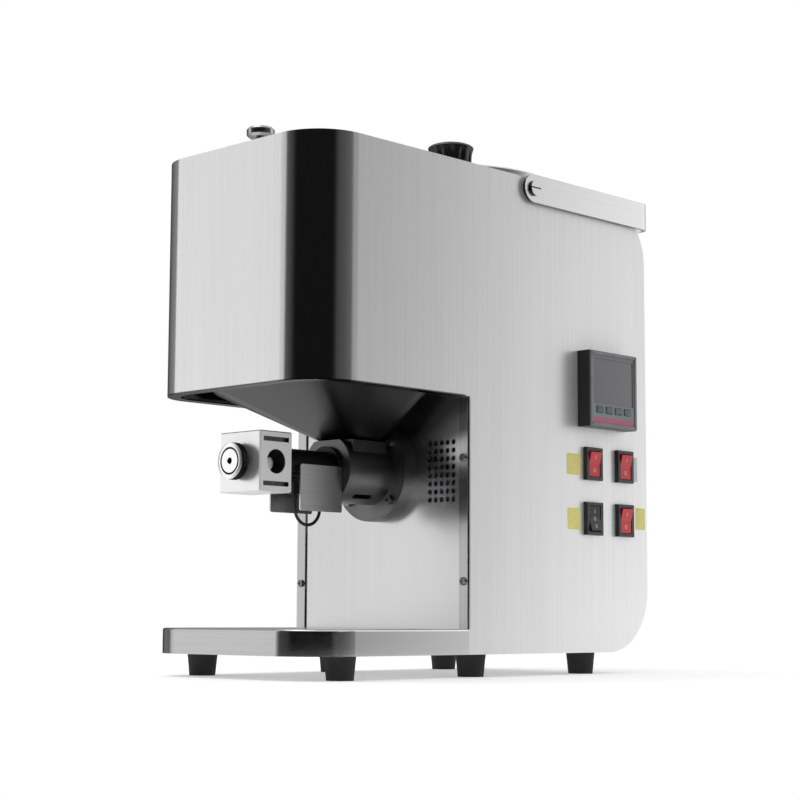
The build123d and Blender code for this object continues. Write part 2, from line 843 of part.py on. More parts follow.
def hopper_funnel():
    """Tapered lower part of the hopper in two welded halves."""
    return both_sides(hopper_half((outlet_height, hopper_front_shoulder)))


def hopper():
    """Upright hopper walls in two welded halves, with a rim under the top plate."""
    rim_top = body_top - sheet
    rim = rounded_plan((-hopper_half_width - hopper_rim, hopper_half_width + hopper_rim),
                       (hopper_front - hopper_rim, hopper_rear + hopper_rim),
                       hopper_corner_radius + hopper_rim)
    hole = rounded_plan((-hopper_half_width, hopper_half_width), (hopper_front, hopper_rear),
                        hopper_corner_radius)
    rim = Pos(0, 0, rim_top - sheet) * extrude(rim - hole, sheet)
    rim &= block((0, half_width), (-head_reach, 0), (rim_top - sheet, rim_top))
    return both_sides(hopper_half((hopper_front_shoulder, rim_top)) + rim)


def hopper_lid():
    """Flat hopper lid with a hinge knuckle near each rear corner."""
    half = hopper_half_width - sheet + hopper_lid_overlap
    front = hopper_front + sheet - hopper_lid_overlap
    plan = front_rounded_plan(half, front, lid_back, hopper_corner_radius)
    plan = fillet(plan.vertices().sort_by(Axis.Y)[-2:], lid_rear_radius)
    lid = Pos(0, 0, body_top) * extrude(plan, hopper_lid_thickness)
    top = body_top + hopper_lid_thickness
    knuckle = hinge_length / 6 - hinge_knuckle_gap
    for middle in (-hinge_offset, hinge_offset):
        x = (middle - knuckle, middle + knuckle)
        lid += block(x, (lid_back - hinge_leaf_depth, hinge_y), (top, top + sheet))
        lid += rod_x(hinge_radius, x, hinge_y, hinge_height)
        lid -= rod_x(hinge_pin_radius + fit_gap, x, hinge_y, hinge_height)
    return lid


def lid_hinges():
    """Two fixed hinge leaves on the top plate, each with two outer knuckles and its pin."""
    step = hinge_length / 6
    back = hinge_y + hinge_radius + hinge_leaf_depth
    hinges = []
    for middle in (-hinge_offset, hinge_offset):
        hinge = block((middle - 3 * step, middle + 3 * step),
                      (hinge_y + hinge_radius + hinge_knuckle_gap, back), (body_top, body_top + sheet))
        for side in (-1, 1):
            x = sorted((middle + side * step, middle + side * 3 * step))
            hinge += block(x, (hinge_y, back), (body_top, body_top + sheet))
            hinge += block(x, (hinge_y, hinge_y + hinge_radius), (body_top, hinge_height))
            hinge += rod_x(hinge_radius, x, hinge_y, hinge_height)
        pin_x = (middle - 3 * step, middle + 3 * step)
        hinges.append(hinge + rod_x(hinge_pin_radius, pin_x, hinge_y, hinge_height))
    return hinges


def lid_knob():
    """Turned metal knob near the front of the hopper lid."""
    y = hopper_front + lid_knob_setback
    low = body_top + hopper_lid_thickness
    neck = low + lid_knob_neck_height
    top = neck + lid_knob_height
    edge = lid_knob_height / 4
    profile = [(0, low), (lid_knob_neck_radius + edge, low), (lid_knob_neck_radius, low + edge),
               (lid_knob_neck_radius, neck), (lid_knob_radius - edge, neck), (lid_knob_radius, neck + edge),
               (lid_knob_radius, top - edge), (lid_knob_radius - edge, top), (0, top)]
    return revolve_z(profile, 0, y)


# Vacuum filter

def filter_pot():
    """Round pot let into the top of the column, with a ledge and a nozzle below."""
    r = pot_radius
    ledge = pot_bottom + pot_ledge_height
    inner = r - sheet
    profile = [(0, pot_bottom), (r, pot_bottom), (r, body_top), (pot_flange_radius, body_top),
               (pot_flange_radius, pot_top), (inner, pot_top), (inner, ledge),
               (inner - pot_ledge_width, ledge), (inner - pot_ledge_width, ledge - sheet),
               (inner, ledge - sheet - pot_ledge_width), (inner, pot_bottom + sheet), (0, pot_bottom + sheet)]
    pot = revolve_z(profile, 0, pot_centre)
    pot += rod_z(nozzle_radius, 0, nozzle_y, (nozzle_end, pot_bottom))
    return pot - rod_z(nozzle_bore, 0, nozzle_y, (nozzle_end, pot_bottom + sheet))


def filter_plate():
    """Slotted plate that carries the filter cloth on the pot's ledge."""
    low = pot_bottom + pot_ledge_height
    plan = Circle(pot_radius - sheet - plate_clearance)
    length = plate_slot_outer - plate_slot_inner
    slot = Pos((plate_slot_inner + plate_slot_outer) / 2, 0) * SlotOverall(length, plate_slot_width)
    for i in range(plate_slot_count):
        plan -= Rot(0, 0, 360 / plate_slot_count * i) * slot
    return Pos(0, pot_centre, low) * extrude(plan, 2 * sheet)


def lid_gasket():
    """Flat rubber ring between the pot's flange and the filter lid."""
    outer = pot_flange_radius - sheet
    inner = outer - gasket_width
    profile = [(inner, pot_top), (outer, pot_top), (outer, filter_lid_under), (inner, filter_lid_under)]
    return revolve_z(profile, 0, pot_centre)


def filter_lid():
    """Round raised lid with a turned-down rim."""
    rim = filter_lid_radius
    low = pot_top + running_gap
    profile = [(0, filter_lid_under), (rim - sheet, filter_lid_under), (rim - sheet, low), (rim, low),
               (rim, filter_lid_top - sheet), (rim - sheet, filter_lid_top), (0, filter_lid_top)]
    return revolve_z(profile, 0, pot_centre)


def filter_knob():
    """Black fluted knob in the middle of the filter lid."""
    top = knob_neck_top + filter_knob_height
    edge = filter_knob_flute_radius
    profile = [(0, filter_lid_top), (filter_knob_neck_radius, filter_lid_top),
               (filter_knob_neck_radius, knob_neck_top), (filter_knob_radius, knob_neck_top + edge),
               (filter_knob_radius, top - edge), (filter_knob_radius - edge, top), (0, top)]
    knob = revolve_z(profile, 0, pot_centre)
    reach = filter_knob_radius + filter_knob_flute_radius / 2
    for i in range(filter_knob_flutes):
        turn = radians(360 / filter_knob_flutes * i)
        x = reach * cos(turn)
        y = pot_centre + reach * sin(turn)
        knob -= rod_z(filter_knob_flute_radius, x, y, (filter_lid_top, top - 2 * edge))
    return knob


# Carry handle

def carry_handle():
    """Flat strip bent round the back of the press, with round ends at the pivots."""
    start = handle_pivot_y - handle_width
    outer = rounded_plan((-handle_outer, handle_outer), (start, handle_rear), handle_bend_radius)
    inner = rounded_plan((-handle_inner, handle_inner),
                         (start - handle_thickness, handle_rear - handle_thickness),
                         handle_bend_radius - handle_thickness)
    low = handle_pivot_height - handle_width / 2
    strip = Pos(0, 0, low) * extrude(outer - inner, handle_width)
    half = handle_width / 2
    long = handle_rear - handle_pivot_y
    side = Circle(half) + Pos(long / 2, 0) * Rectangle(long, handle_width)
    strip &= along_x(Pos(handle_pivot_y, handle_pivot_height) * side, (-handle_outer, handle_outer))
    hole = pivot_shank_radius + fit_gap
    return strip - rod_x(hole, (-handle_outer, handle_outer), handle_pivot_y, handle_pivot_height)


def handle_pivots():
    """Shoulder screws of the handle, each with a nut inside and a washer under the handle's arm."""
    y, z = handle_pivot_y, handle_pivot_height
    head = handle_outer + pivot_end_gap
    nut = inner_half_width - pivot_nut_height
    screw = rod_x(pivot_head_radius, (head, head + pivot_head_height), y, z)
    screw += rod_x(pivot_shank_radius, (nut, head), y, z)
    screw += rod_x(pivot_head_radius, (nut, inner_half_width), y, z)
    slot_x = (head + pivot_head_height - pivot_slot_depth, head + pivot_head_height)
    screw -= along_x(Pos(y, z) * Rectangle(2 * pivot_head_radius, pivot_slot_width), slot_x)
    washer = rod_x(pivot_head_radius, (half_width, handle_inner - pivot_end_gap), y, z)
    washer -= rod_x(pivot_shank_radius + fit_gap, (half_width, handle_inner), y, z)
    return both_sides(screw) + both_sides(washer)


# Temperature controller

def key_places():
    """Places along Y of the controller's four keys."""
    return [controller_centre_y + key_pitch * (i - (key_count - 1) / 2) for i in range(key_count)]


def window_face():
    """Outline of the controller's display window in Y and Z."""
    middle = Pos(controller_centre_y, controller_centre_z + window_rise)
    return middle * Rectangle(window_width, window_height)


def controller_case():
    """Square controller with a deep bezel, a sunk window and key openings."""
    y, z = controller_centre_y, controller_centre_z
    front = along_x(Pos(y, z) * Rectangle(controller_size, controller_size), (half_width, controller_face))
    front = chamfer(front.faces().sort_by(Axis.X)[-1].edges(), sheet / 2)
    body = along_x(Pos(y, z) * Rectangle(controller_body, controller_body),
                   (half_width - controller_depth, half_width))
    case = front + body
    case -= along_x(window_face(), (controller_face - window_recess, controller_face))
    pocket = controller_face + key_proud - key_length - key_travel - key_gap
    for key_y in key_places():
        opening = Rectangle(key_width + 2 * key_gap, key_height + 2 * key_gap)
        case -= along_x(Pos(key_y, z - key_drop) * opening, (pocket, controller_face))
    return case


def controller_window():
    """Tinted window over the display."""
    low = controller_face - window_recess
    return along_x(window_face(), (low, low + window_thickness))


def controller_key(key_y):
    """One push key of the controller."""
    top = controller_face + key_proud
    key = along_x(Pos(key_y, controller_centre_z - key_drop) * Rectangle(key_width, key_height),
                  (top - key_length, top))
    return fillet(key.faces().sort_by(Axis.X)[-1].edges(), key_proud / 2)


# Rocker switches

def switch_places():
    """Places of the four switches, upper row first."""
    return [(y, z) for z in switch_rows for y in switch_columns]


def switch_housing(y, z):
    """Bezel and body of one switch, open at the front for its rocker."""
    room_width = switch_width - 2 * switch_wall
    bezel = along_x(Pos(y, z) * Rectangle(switch_width, switch_height), (half_width, bezel_face))
    bezel = chamfer(bezel.faces().sort_by(Axis.X)[-1].edges(), sheet / 2)
    body = along_x(Pos(y, z) * Rectangle(room_width, switch_height - 2 * switch_wall),
                   (half_width - switch_depth, half_width))
    housing = bezel + body
    slot_width = room_width - 2 * sheet
    slot_height = 2 * (rocker_radius + rocker_gap)
    low = rocker_pivot_x - rocker_depth - rocker_cavity_gap
    housing -= along_x(Pos(y, z) * Rectangle(slot_width, slot_height), (low, bezel_face))
    pin = slot_width / 2 + rocker_pin_length
    hole = Pos(rocker_pivot_x, y, z) * Rot(90, 0, 0) * Cylinder(rocker_pin_radius + fit_gap, 2 * pin)
    return housing - hole


def rocker(y, z, tilt):
    """Crowned rocker on two stub pins, tipped about its pivot by the given angle."""
    width = switch_width - 2 * switch_wall - 2 * sheet - 2 * rocker_gap
    end = sqrt(rocker_radius ** 2 - rocker_crown ** 2)
    low = sqrt(rocker_radius ** 2 - rocker_depth ** 2)
    dish = rocker_crown - rocker_radius * tan(radians(rocker_tilt))
    upper = Line((rocker_crown, end), (dish, 0)) + Line((dish, 0), (rocker_crown, -end))
    ends = ThreePointArc((rocker_crown, -end), (0, -rocker_radius), (-rocker_depth, -low))
    ends += Line((-rocker_depth, -low), (-rocker_depth, low))
    ends += ThreePointArc((-rocker_depth, low), (0, rocker_radius), (rocker_crown, end))
    shape = along_y(make_face(upper + ends), (-width / 2, width / 2))
    pin = width / 2 + rocker_gap + rocker_pin_length - fit_gap
    shape += Rot(90, 0, 0) * Cylinder(rocker_pin_radius, 2 * pin)
    return Pos(rocker_pivot_x, y, z) * Rot(0, tilt, 0) * shape


# Gearbox

def gear_face(teeth, turn):
    """Spur gear outline with involute flanks, one tooth centred at the given angle."""
    pitch = gear_module * teeth / 2
    base = pitch * cos(radians(pressure_angle))
    tip = pitch + tip_factor * gear_module
    root = pitch - root_factor * gear_module
    start = max(base, root)
    radii = [start, (start + pitch) / 2, pitch, tip]
    swing = tan(radians(pressure_angle)) - radians(pressure_angle)
    half_pitch = pi / (2 * teeth) - gear_backlash / (4 * pitch)

    def half_angle(radius):
        slope = acos(min(1.0, base / radius))
        return half_pitch + swing - (tan(slope) - slope)

    points = []
    for i in range(teeth):
        middle = radians(turn) + 2 * pi * i / teeth
        flank = [(r, half_angle(r)) for r in radii]
        if root < base:
            flank.insert(0, (root, half_angle(base)))
        points += [(r * cos(middle - a), r * sin(middle - a)) for r, a in flank]
        points += [(r * cos(middle + a), r * sin(middle + a)) for r, a in reversed(flank)]
    return outline(points)


def spur_gear(teeth, turn, height, y, bore):
    """A spur gear on an axis along Y, with a round bore."""
    face = gear_face(teeth, turn) - Circle(bore)
    return along_y(Pos(0, height) * face, y)


def half_tooth(teeth):
    """Half the angle from one tooth to the next."""
    return 180 / teeth


def output_shaft():
    """Stepped shaft that drives the press screw through a hexagonal socket."""
    front = -flange_thickness + running_gap
    step = output_wheel_y + output_wheel_width
    shaft = rod_y(shaft_radius, (front, step)) + rod_y(shaft_tail_radius, (step, cover_back))
    socket = RegularPolygon(screw_tang + fit_gap, 6, major_radius=False)
    return shaft - along_y(Pos(0, axis_height) * socket, (front, front + tang_length + running_gap))


def output_wheel():
    """Large wheel on the output shaft."""
    y = (output_wheel_y, output_wheel_y + output_wheel_width)
    return spur_gear(wheel_teeth, -mesh_angle, axis_height, y, shaft_radius)


def idler_wheel():
    """Large wheel on the idler shaft, driven by the motor pinion."""
    y = (idler_wheel_y, idler_wheel_y + idler_wheel_width)
    return spur_gear(wheel_teeth, -mesh_angle, idler_height, y, idler_shaft_radius)


def idler_shaft():
    """Shaft between the two idler bearings, cut from one bar with the pinion that drives the output wheel."""
    y = (output_wheel_y - pinion_overhang, idler_wheel_y)
    pinion = along_y(Pos(0, idler_height) * gear_face(pinion_teeth, mesh_angle + half_tooth(pinion_teeth)), y)
    return pinion + rod_y(idler_shaft_radius, (panel_back, cover_back), 0, idler_height)


def motor_pinion():
    """Pinion on the motor shaft."""
    y = (idler_wheel_y - pinion_overhang, idler_wheel_y + idler_wheel_width + pinion_overhang)
    return spur_gear(pinion_teeth, mesh_angle + half_tooth(pinion_teeth), motor_height, y, motor_shaft_radius)


def bearing_places():
    """Shaft radius, height and Y span of the four gearbox bearings."""
    front = (panel_back, panel_back + case_front_wall)
    back = (case_back, cover_back)
    return [(shaft_radius, axis_height, front), (shaft_tail_radius, axis_height, back),
            (idler_shaft_radius, idler_height, front), (idler_shaft_radius, idler_height, back)]


def gear_bearings():
    """Bearing rings of output and idler shaft."""
    rings = []
    for radius, height, y in bearing_places():
        rings.append(rod_y(radius + bearing_ring, y, 0, height) - rod_y(radius + fit_gap, y, 0, height))
    return rings


def case_face(inset):
    """Outline of the gear case in X and Z."""
    size = (2 * (case_half_width - inset), case_top - case_bottom - 2 * inset)
    return Pos(0, (case_top + case_bottom) / 2) * RectangleRounded(*size, case_half_width / 2 - inset)


def gearbox_case():
    """Cast gear case, open at the back, with a thick front wall for the bearings."""
    case = along_y(case_face(0), (panel_back, case_back))
    case -= along_y(case_face(case_wall), (panel_back + case_front_wall, case_back))
    for radius, height, y in bearing_places()[::2]:
        case -= rod_y(radius + bearing_ring, y, 0, height)
    case -= [rod_y(bolt_shank_radius + bolt_clearance, (panel_back, panel_back + bolt_grip), x, z)
             for x, z in flange_bolt_places()]
    return case


def gearbox_cover():
    """Rear plate of the gear case with bearing seats and the hole for the motor pinion."""
    cover = along_y(case_face(0), (case_back, cover_back))
    for radius, height, y in bearing_places()[1::2]:
        cover -= rod_y(radius + bearing_ring, y, 0, height)
    return cover - rod_y(pinion_tip_radius + sheet, (case_back, cover_back), 0, motor_height)


# Motor

def motor_case():
    """Round motor housing with its front bell."""
    case = rod_y(motor_radius, (cover_back, motor_back - motor_bell), 0, motor_height)
    inside = (cover_back + motor_bell, motor_back - motor_bell)
    case -= rod_y(motor_radius - motor_wall, inside, 0, motor_height)
    return case - rod_y(motor_shaft_radius + fit_gap, (cover_back, cover_back + motor_bell), 0, motor_height)


def motor_bell_cap():
    """Rear bell of the motor."""
    y = (motor_back - motor_bell, motor_back)
    cap = rod_y(motor_radius, y, 0, motor_height)
    cap = chamfer(cap.edges().group_by(Axis.Y)[-1], motor_bell / 2)
    return cap - rod_y(motor_shaft_radius + fit_gap, y, 0, motor_height)


def stator_span():
    """Y span of the motor's stator."""
    middle = (cover_back + motor_back) / 2
    return (middle - stator_length / 2, middle + stator_length / 2)


def motor_stator():
    """Stator ring pressed into the motor housing."""
    span = stator_span()
    ring = rod_y(motor_radius - motor_wall, span, 0, motor_height)
    return ring - rod_y(stator_inner_radius, span, 0, motor_height)


def motor_rotor():
    """Rotor with its shaft, from the pinion to the fan."""
    length = (idler_wheel_y - pinion_overhang, motor_back + fan_gap + fan_blade_width)
    shaft = rod_y(motor_shaft_radius, length, 0, motor_height)
    return shaft + rod_y(stator_inner_radius - rotor_gap, stator_span(), 0, motor_height)


def cooling_fan():
    """Fan with slanted blades on the rear end of the motor shaft."""
    start = motor_back + fan_gap
    y = (start, start + fan_blade_width)
    fan = rod_y(fan_hub_radius, y, 0, motor_height)
    long = fan_radius - fan_hub_radius + fan_blade_thickness
    middle = fan_hub_radius - fan_blade_thickness + long / 2
    for i in range(fan_blades):
        blade = Rot(fan_blade_pitch, 0, 0) * Box(long, fan_blade_width, fan_blade_thickness)
        blade = Pos(middle, 0, 0) * blade
        turn = Rot(0, 360 / fan_blades * i, 0)
        fan += Pos(0, (y[0] + y[1]) / 2, motor_height) * turn * blade
    return fan - rod_y(motor_shaft_radius, y, 0, motor_height)


def motor_cradles():
    """Two saddles that carry the motor on the floor plate."""
    cradles = []
    for y in (cover_back + cradle_inset, motor_back - motor_bell - cradle_inset - cradle_length):
        top = motor_height - motor_radius + cradle_wrap
        saddle = block((-cradle_half_width, cradle_half_width), (y, y + cradle_length), (floor_top, top))
        cradles.append(saddle - rod_y(motor_radius, (y, y + cradle_length), 0, motor_height))
    return cradles


# Vacuum pump

def pump_shelf():
    """Sheet shelf with an upturned flange on the rear cover."""
    back = rear_inner
    width = (-shelf_half_width, shelf_half_width)
    shelf = block(width, (back - shelf_length, back), (shelf_height, shelf_top))
    flange = block(width, (back - sheet, back), (shelf_height, shelf_height + shelf_flange))
    return shelf + flange


def vacuum_pump():
    """Small diaphragm pump: square head with a port, round motor in front."""
    head = block((-pump_head_width / 2, pump_head_width / 2), (pump_front, pump_rear),
                 (shelf_top, shelf_top + pump_head_height))
    head = fillet(head.edges().filter_by(Axis.Z), pump_head_width / 8)
    height = shelf_top + pump_motor_radius
    pump = head + rod_y(pump_motor_radius, (pump_front - pump_motor_length, pump_front), 0, height)
    pump += rod_z(port_radius, 0, pump_port_y, (shelf_top + pump_head_height, pump_port_top))
    return pump


def vacuum_hose():
    """Hose from the pump's port to the nozzle of the filter pot."""
    low = pump_port_top - hose_overlap
    high = nozzle_end + hose_overlap
    middle = (pump_port_top + nozzle_end) / 2
    path = FilletPolyline((0, pump_port_y, low), (0, pump_port_y, middle), (0, nozzle_y, middle),
                          (0, nozzle_y, high), radius=hose_bend_radius)
    bore = port_radius + hose_gap
    section = Plane(origin=(0, pump_port_y, low)) * (Circle(bore + hose_wall) - Circle(bore))
    return sweep(section, path=path)


# Mains inlet

def mains_inlet():
    """Flanged mains inlet in the rear cover, open at the back, with three contact pins."""
    x, z = inlet_centre_x, inlet_centre_z
    flange = along_y(Pos(x, z) * RectangleRounded(inlet_flange_width, inlet_flange_height, inlet_wall),
                     (column_depth, column_depth + inlet_flange_thickness))
    shell = Rectangle(inlet_width + 2 * inlet_wall - screw_hole_clearance,
                      inlet_height + 2 * inlet_wall - screw_hole_clearance)
    body = along_y(Pos(x, z) * shell, (column_depth - inlet_depth, column_depth))
    room = Pos(x, z) * Rectangle(inlet_width, inlet_height)
    floor = column_depth - inlet_depth + inlet_wall
    inlet = flange + body - along_y(room, (floor, column_depth + inlet_flange_thickness))
    for step, lift in ((-1, -1), (0, 1), (1, -1)):
        pin_x = x + step * inlet_pin_pitch
        pin_z = z + lift * inlet_pin_offset
        inlet += rod_y(inlet_pin_radius, (floor, floor + inlet_pin_length), pin_x, pin_z)
    return inlet


def main():
    """Build every node and write it."""
    os.makedirs("parts", exist_ok=True)
    singles = (outer_wrap, top_plate, rear_cover, bottom_plate, base_tray, column_panel, press_cage,
               press_screw, end_block, choke_cone, adjuster_knob, probe_lead, hopper_lid,
               lid_knob, filter_pot, filter_plate, lid_gasket, filter_lid, filter_knob, carry_handle,
               controller_case, controller_window, output_shaft, output_wheel, idler_wheel,
               idler_shaft, motor_pinion, gearbox_case, gearbox_cover, motor_case, motor_bell_cap,
               motor_stator, motor_rotor, cooling_fan, pump_shelf, vacuum_pump, vacuum_hose, mains_inlet)
    for make in singles:
        save(make.__name__, make())
    groups = (rubber_feet, foot_screws, panel_screws, feed_housing, flange_bolts, oil_guards,
              probe_fittings, hopper, hopper_funnel, lid_hinges, handle_pivots, gear_bearings, motor_cradles)
    for make in groups:
        save(make.__name__, *make())
    save("switch_housings", *[switch_housing(y, z) for y, z in switch_places()])
    for name, key_y in zip(("set_key", "shift_key", "down_key", "up_key"), key_places()):
        save(name, controller_key(key_y))
    names = ("heat_rocker", "pump_rocker", "direction_rocker", "press_rocker")
    tilts = (rocker_tilt, rocker_tilt, -rocker_tilt, rocker_tilt)
    for name, (y, z), tilt in zip(names, switch_places(), tilts):
        save(name, rocker(y, z, tilt))


main()
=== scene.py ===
"""Looks of a table-top screw oil press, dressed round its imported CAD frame.

Metres, +Z up, front -Y, controls +X.
"""
import math

import bmesh
import bpy
from mathutils import Matrix, Vector


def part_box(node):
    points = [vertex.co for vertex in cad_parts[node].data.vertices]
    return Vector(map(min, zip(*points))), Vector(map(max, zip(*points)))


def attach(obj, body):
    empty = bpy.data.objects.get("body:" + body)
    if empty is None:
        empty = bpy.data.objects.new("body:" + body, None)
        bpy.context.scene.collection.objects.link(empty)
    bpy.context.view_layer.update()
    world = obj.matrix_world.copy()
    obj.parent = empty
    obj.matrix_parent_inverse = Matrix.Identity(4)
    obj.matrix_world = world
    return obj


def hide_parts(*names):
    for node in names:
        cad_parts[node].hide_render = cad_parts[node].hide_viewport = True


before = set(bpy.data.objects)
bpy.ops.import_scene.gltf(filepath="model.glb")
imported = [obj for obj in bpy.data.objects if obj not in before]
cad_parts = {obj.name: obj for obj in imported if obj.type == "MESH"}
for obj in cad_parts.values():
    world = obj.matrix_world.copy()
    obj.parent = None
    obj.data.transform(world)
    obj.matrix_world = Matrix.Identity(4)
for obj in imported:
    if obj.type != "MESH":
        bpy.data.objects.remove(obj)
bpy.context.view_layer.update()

bl_info = {
    "name": "Screw oil press",
    "version": (1, 0, 0),
    "blender": (4, 5, 0),
    "location": "3D View > Sidebar > Oil press",
    "description": "Finishes and small pieces of a table-top screw oil press",
    "category": "Object",
}

MM = 0.001
BLACK = (0.0, 0.0, 0.0)
WHITE = (1.0, 1.0, 1.0)

# Numbers of the Mix node's sockets for colours
MIX_FACTOR, MIX_FIRST, MIX_SECOND, MIX_RESULT = 0, 6, 7, 2

# Nodes that share one finish
SHEET_REAR = ("rear_cover", "pump_shelf", "bottom_plate")
SHEET_TOP = ("top_plate", "hopper_lid", "lid_hinges")
SHEET_POT = ("filter_pot", "filter_plate", "filter_lid")
GEAR_NODES = ("output_wheel", "idler_wheel", "idler_shaft", "motor_pinion", "output_shaft",
              "gear_bearings", "motor_rotor")
SCREW_NODES = ("flange_bolts", "panel_screws", "foot_screws")
CAST_NODES = ("gearbox_case", "gearbox_cover", "motor_bell_cap")
PAINTED_NODES = ("motor_case", "motor_cradles", "vacuum_pump")
CAGE_NODES = ("press_cage", "probe_fittings")
RUBBER_NODES = ("rubber_feet", "lid_gasket", "vacuum_hose")
BLACK_NODES = ("switch_housings", "mains_inlet", "cooling_fan")
KEY_NODES = ("set_key", "shift_key", "down_key", "up_key")
RED_ROCKERS = ("heat_rocker", "pump_rocker", "press_rocker")

# Grain of brushed sheet: cells a metre along each axis, with few of them along the streaks
WRAP_GRAIN = (1100, 1100, 5)
TOP_GRAIN = (5, 1100, 1100)
REAR_GRAIN = (1100, 5, 5)
HANDLE_GRAIN = (900, 5, 900)
GUARD_GRAIN = (700, 5, 700)
HOPPER_GRAIN = (700, 700, 6)
POT_GRAIN = (900, 900, 5)
MILLED_GRAIN = (90, 900, 900)

# Tones of sheet, as shares of the sheet's colour: pairs run left to right, front to rear, or
# dark to light. The side, flange, panel and front tones are painted light and shade, and the
# hem, base front, handle edge and funnel underside tones are painted shade, all set by place
SIDE_PAINTED_LIGHT_TONES = (0.85, 1.28)
FLANGE_PAINTED_SHADE_TONES = (0.54, 0.8)
PANEL_PAINTED_LIGHT_TONES = (0.77, 1.07)
FRONT_PAINTED_LIGHT_TONE = 1.27
HEM_PAINTED_SHADE_TONE = 0.12
BASE_TONE = 0.95
BASE_FRONT_PAINTED_SHADE_TONE = 0.48
HANDLE_TONES = (0.78, 0.92)
HANDLE_EDGE_PAINTED_SHADE_TONE = 0.06
HOPPER_TONES = (0.8, 0.9)
FUNNEL_UNDERSIDE_PAINTED_SHADE_TONES = (0.055, 0.07)
GUARD_TONES = (0.72, 0.85)
REAR_TONES = (0.78, 0.85)
SHEET_TONES = (0.93, 1.0)

# The wrap's flats are rougher and less mirror-like than its bends
FLAT_ROUGHNESS = 0.28
SIDE_SOFTNESS = 0.45
FRONT_SOFTNESS = 0.3
FLANGE_SOFTENING = 0.25
HEAD_UNDERSIDE = 0.246
HEAD_DEPTH = 0.18
FLANGE_REACH = 4 * MM
FLANGE_BEND = 2 * MM
HANDLE_BEND = 12 * MM

# Stickers on the side panel: name, whether measured from the front of the switches or from their
# rear, middle from the switches' lower corner, width and height
STICKERS = (("sticker_upper", True, -14.3 * MM, 65.7 * MM, 21 * MM, 20 * MM),
            ("sticker_lower", True, -14.3 * MM, 14.7 * MM, 19 * MM, 20 * MM),
            ("sticker_rear", False, 14.3 * MM, 18.2 * MM, 15 * MM, 21 * MM),
            ("sticker_clear", False, 5.5 * MM, 65.7 * MM, 9 * MM, 24 * MM))
STICKER_CORNER = 1.2 * MM
STICKER_THICKNESS = 0.16 * MM

# Printing on the controller's front, up from its lower edge
PRINT_BORDER = 5 * MM
KEY_STRIP = (9.2 * MM, 21.4 * MM)
PINK_STRIPE = (3.9 * MM, 8.9 * MM)

# Raised frame on the controller's front
FRAME_MARGIN = 0.8 * MM
FRAME_CORNER = 1.2 * MM
FRAME_RISE = 0.9 * MM
FRAME_ROUNDING = 0.35 * MM

# Marks on the rockers: kinds with their heights from the rocker's middle, and sizes
ON_OFF_MARKS = (("bar", 6 * MM), ("ring", -6 * MM))
TWO_WAY_MARKS = (("bar", 7 * MM), ("ring", 0.0), ("bars", -7 * MM))
RING_RADII = (1.2 * MM, 1.8 * MM)
BAR_ASIDE = {"bar": 0.0, "bars": 0.9 * MM}
BAR_HALF_WIDTH = 0.35 * MM
BAR_HALF_HEIGHT = 1.9 * MM
MARK_COLOUR = (0.55, 0.53, 0.5)
BLACK_ROCKER = (0.022, 0.022, 0.024)

# Adjusting knob: radii of the centre hole and the ring groove, and the back of its head
KNOB_HOLE = 2.6 * MM
KNOB_GROOVE = 10.1 * MM
KNOB_BACK = 9 * MM

# Screws on the back
COVER_SCREW_HEIGHTS = (95 * MM, 250 * MM, 375 * MM)
COVER_SCREW_INSET = 9 * MM
COVER_SCREW_HEAD = 1.7 * MM
INLET_SCREW_INSET = 4.5 * MM
INLET_SCREW_HEAD = 1.2 * MM
SCREW_VERTICES = 48

# Stage
FLOOR_RADIUS = 0.7
FLOOR_VERTICES = 96
SOFTBOX_PLACE = (-0.4, -0.5, 1.7)
SOFTBOX_AIM = (0, 0, 0.25)
SOFTBOX_WIDTH = 1.4
SOFTBOX_LENGTH = 1.0
SENSOR_WIDTH = 36.0
SKY_FADE = (0.4, 0.75)

# Tone of the studio round the press, by the angle in degrees to the right of the camera
STUDIO_TONES = ((-180, 0.5), (-172, 0.1), (-160, 0.03), (-145, 0.12), (-128, 0.22), (-114, 0.28),
                (-106, 1.1), (-99, 1.5), (-92, 1.5), (-88, 1.05), (-86, 0.6), (-83, 0.16),
                (-73, 0.1), (-63, 0.06), (-54, 0.012), (-50, 0.006), (30, 0.006), (34, 0.02),
                (41, 0.07), (52, 0.085), (62, 0.11), (73, 0.15), (84, 0.22), (90, 0.4), (92, 0.56),
                (95, 0.78), (99, 1.3), (104, 1.8), (110, 1.8), (117, 0.8), (135, 0.55), (180, 0.5))


# Shader maths

class Value:
    """A number socket of one node tree, so that shader maths reads as Python."""

    def __init__(self, tree, socket):
        self.tree = tree
        self.socket = socket

    def maths(self, operation, other=0.0, reflected=False):
        """A Math node on this value and another value or number, in either order."""
        pair = (other, self) if reflected else (self, other)
        return self.tree.node("ShaderNodeMath", {"operation": operation}, dict(enumerate(pair)))

    def __add__(self, other):
        return self.maths("ADD", other)

    def __sub__(self, other):
        return self.maths("SUBTRACT", other)

    def __rsub__(self, other):
        return self.maths("SUBTRACT", other, reflected=True)

    def __mul__(self, other):
        return self.maths("MULTIPLY", other)

    def __truediv__(self, other):
        return self.maths("DIVIDE", other)

    def __rtruediv__(self, other):
        return self.maths("DIVIDE", other, reflected=True)

    def __pow__(self, other):
        return self.maths("POWER", other)

    def __rpow__(self, other):
        return self.maths("POWER", other, reflected=True)

    def __gt__(self, other):
        return self.maths("GREATER_THAN", other)

    def __lt__(self, other):
        return self.maths("LESS_THAN", other)

    __radd__ = __add__
    __rmul__ = __mul__


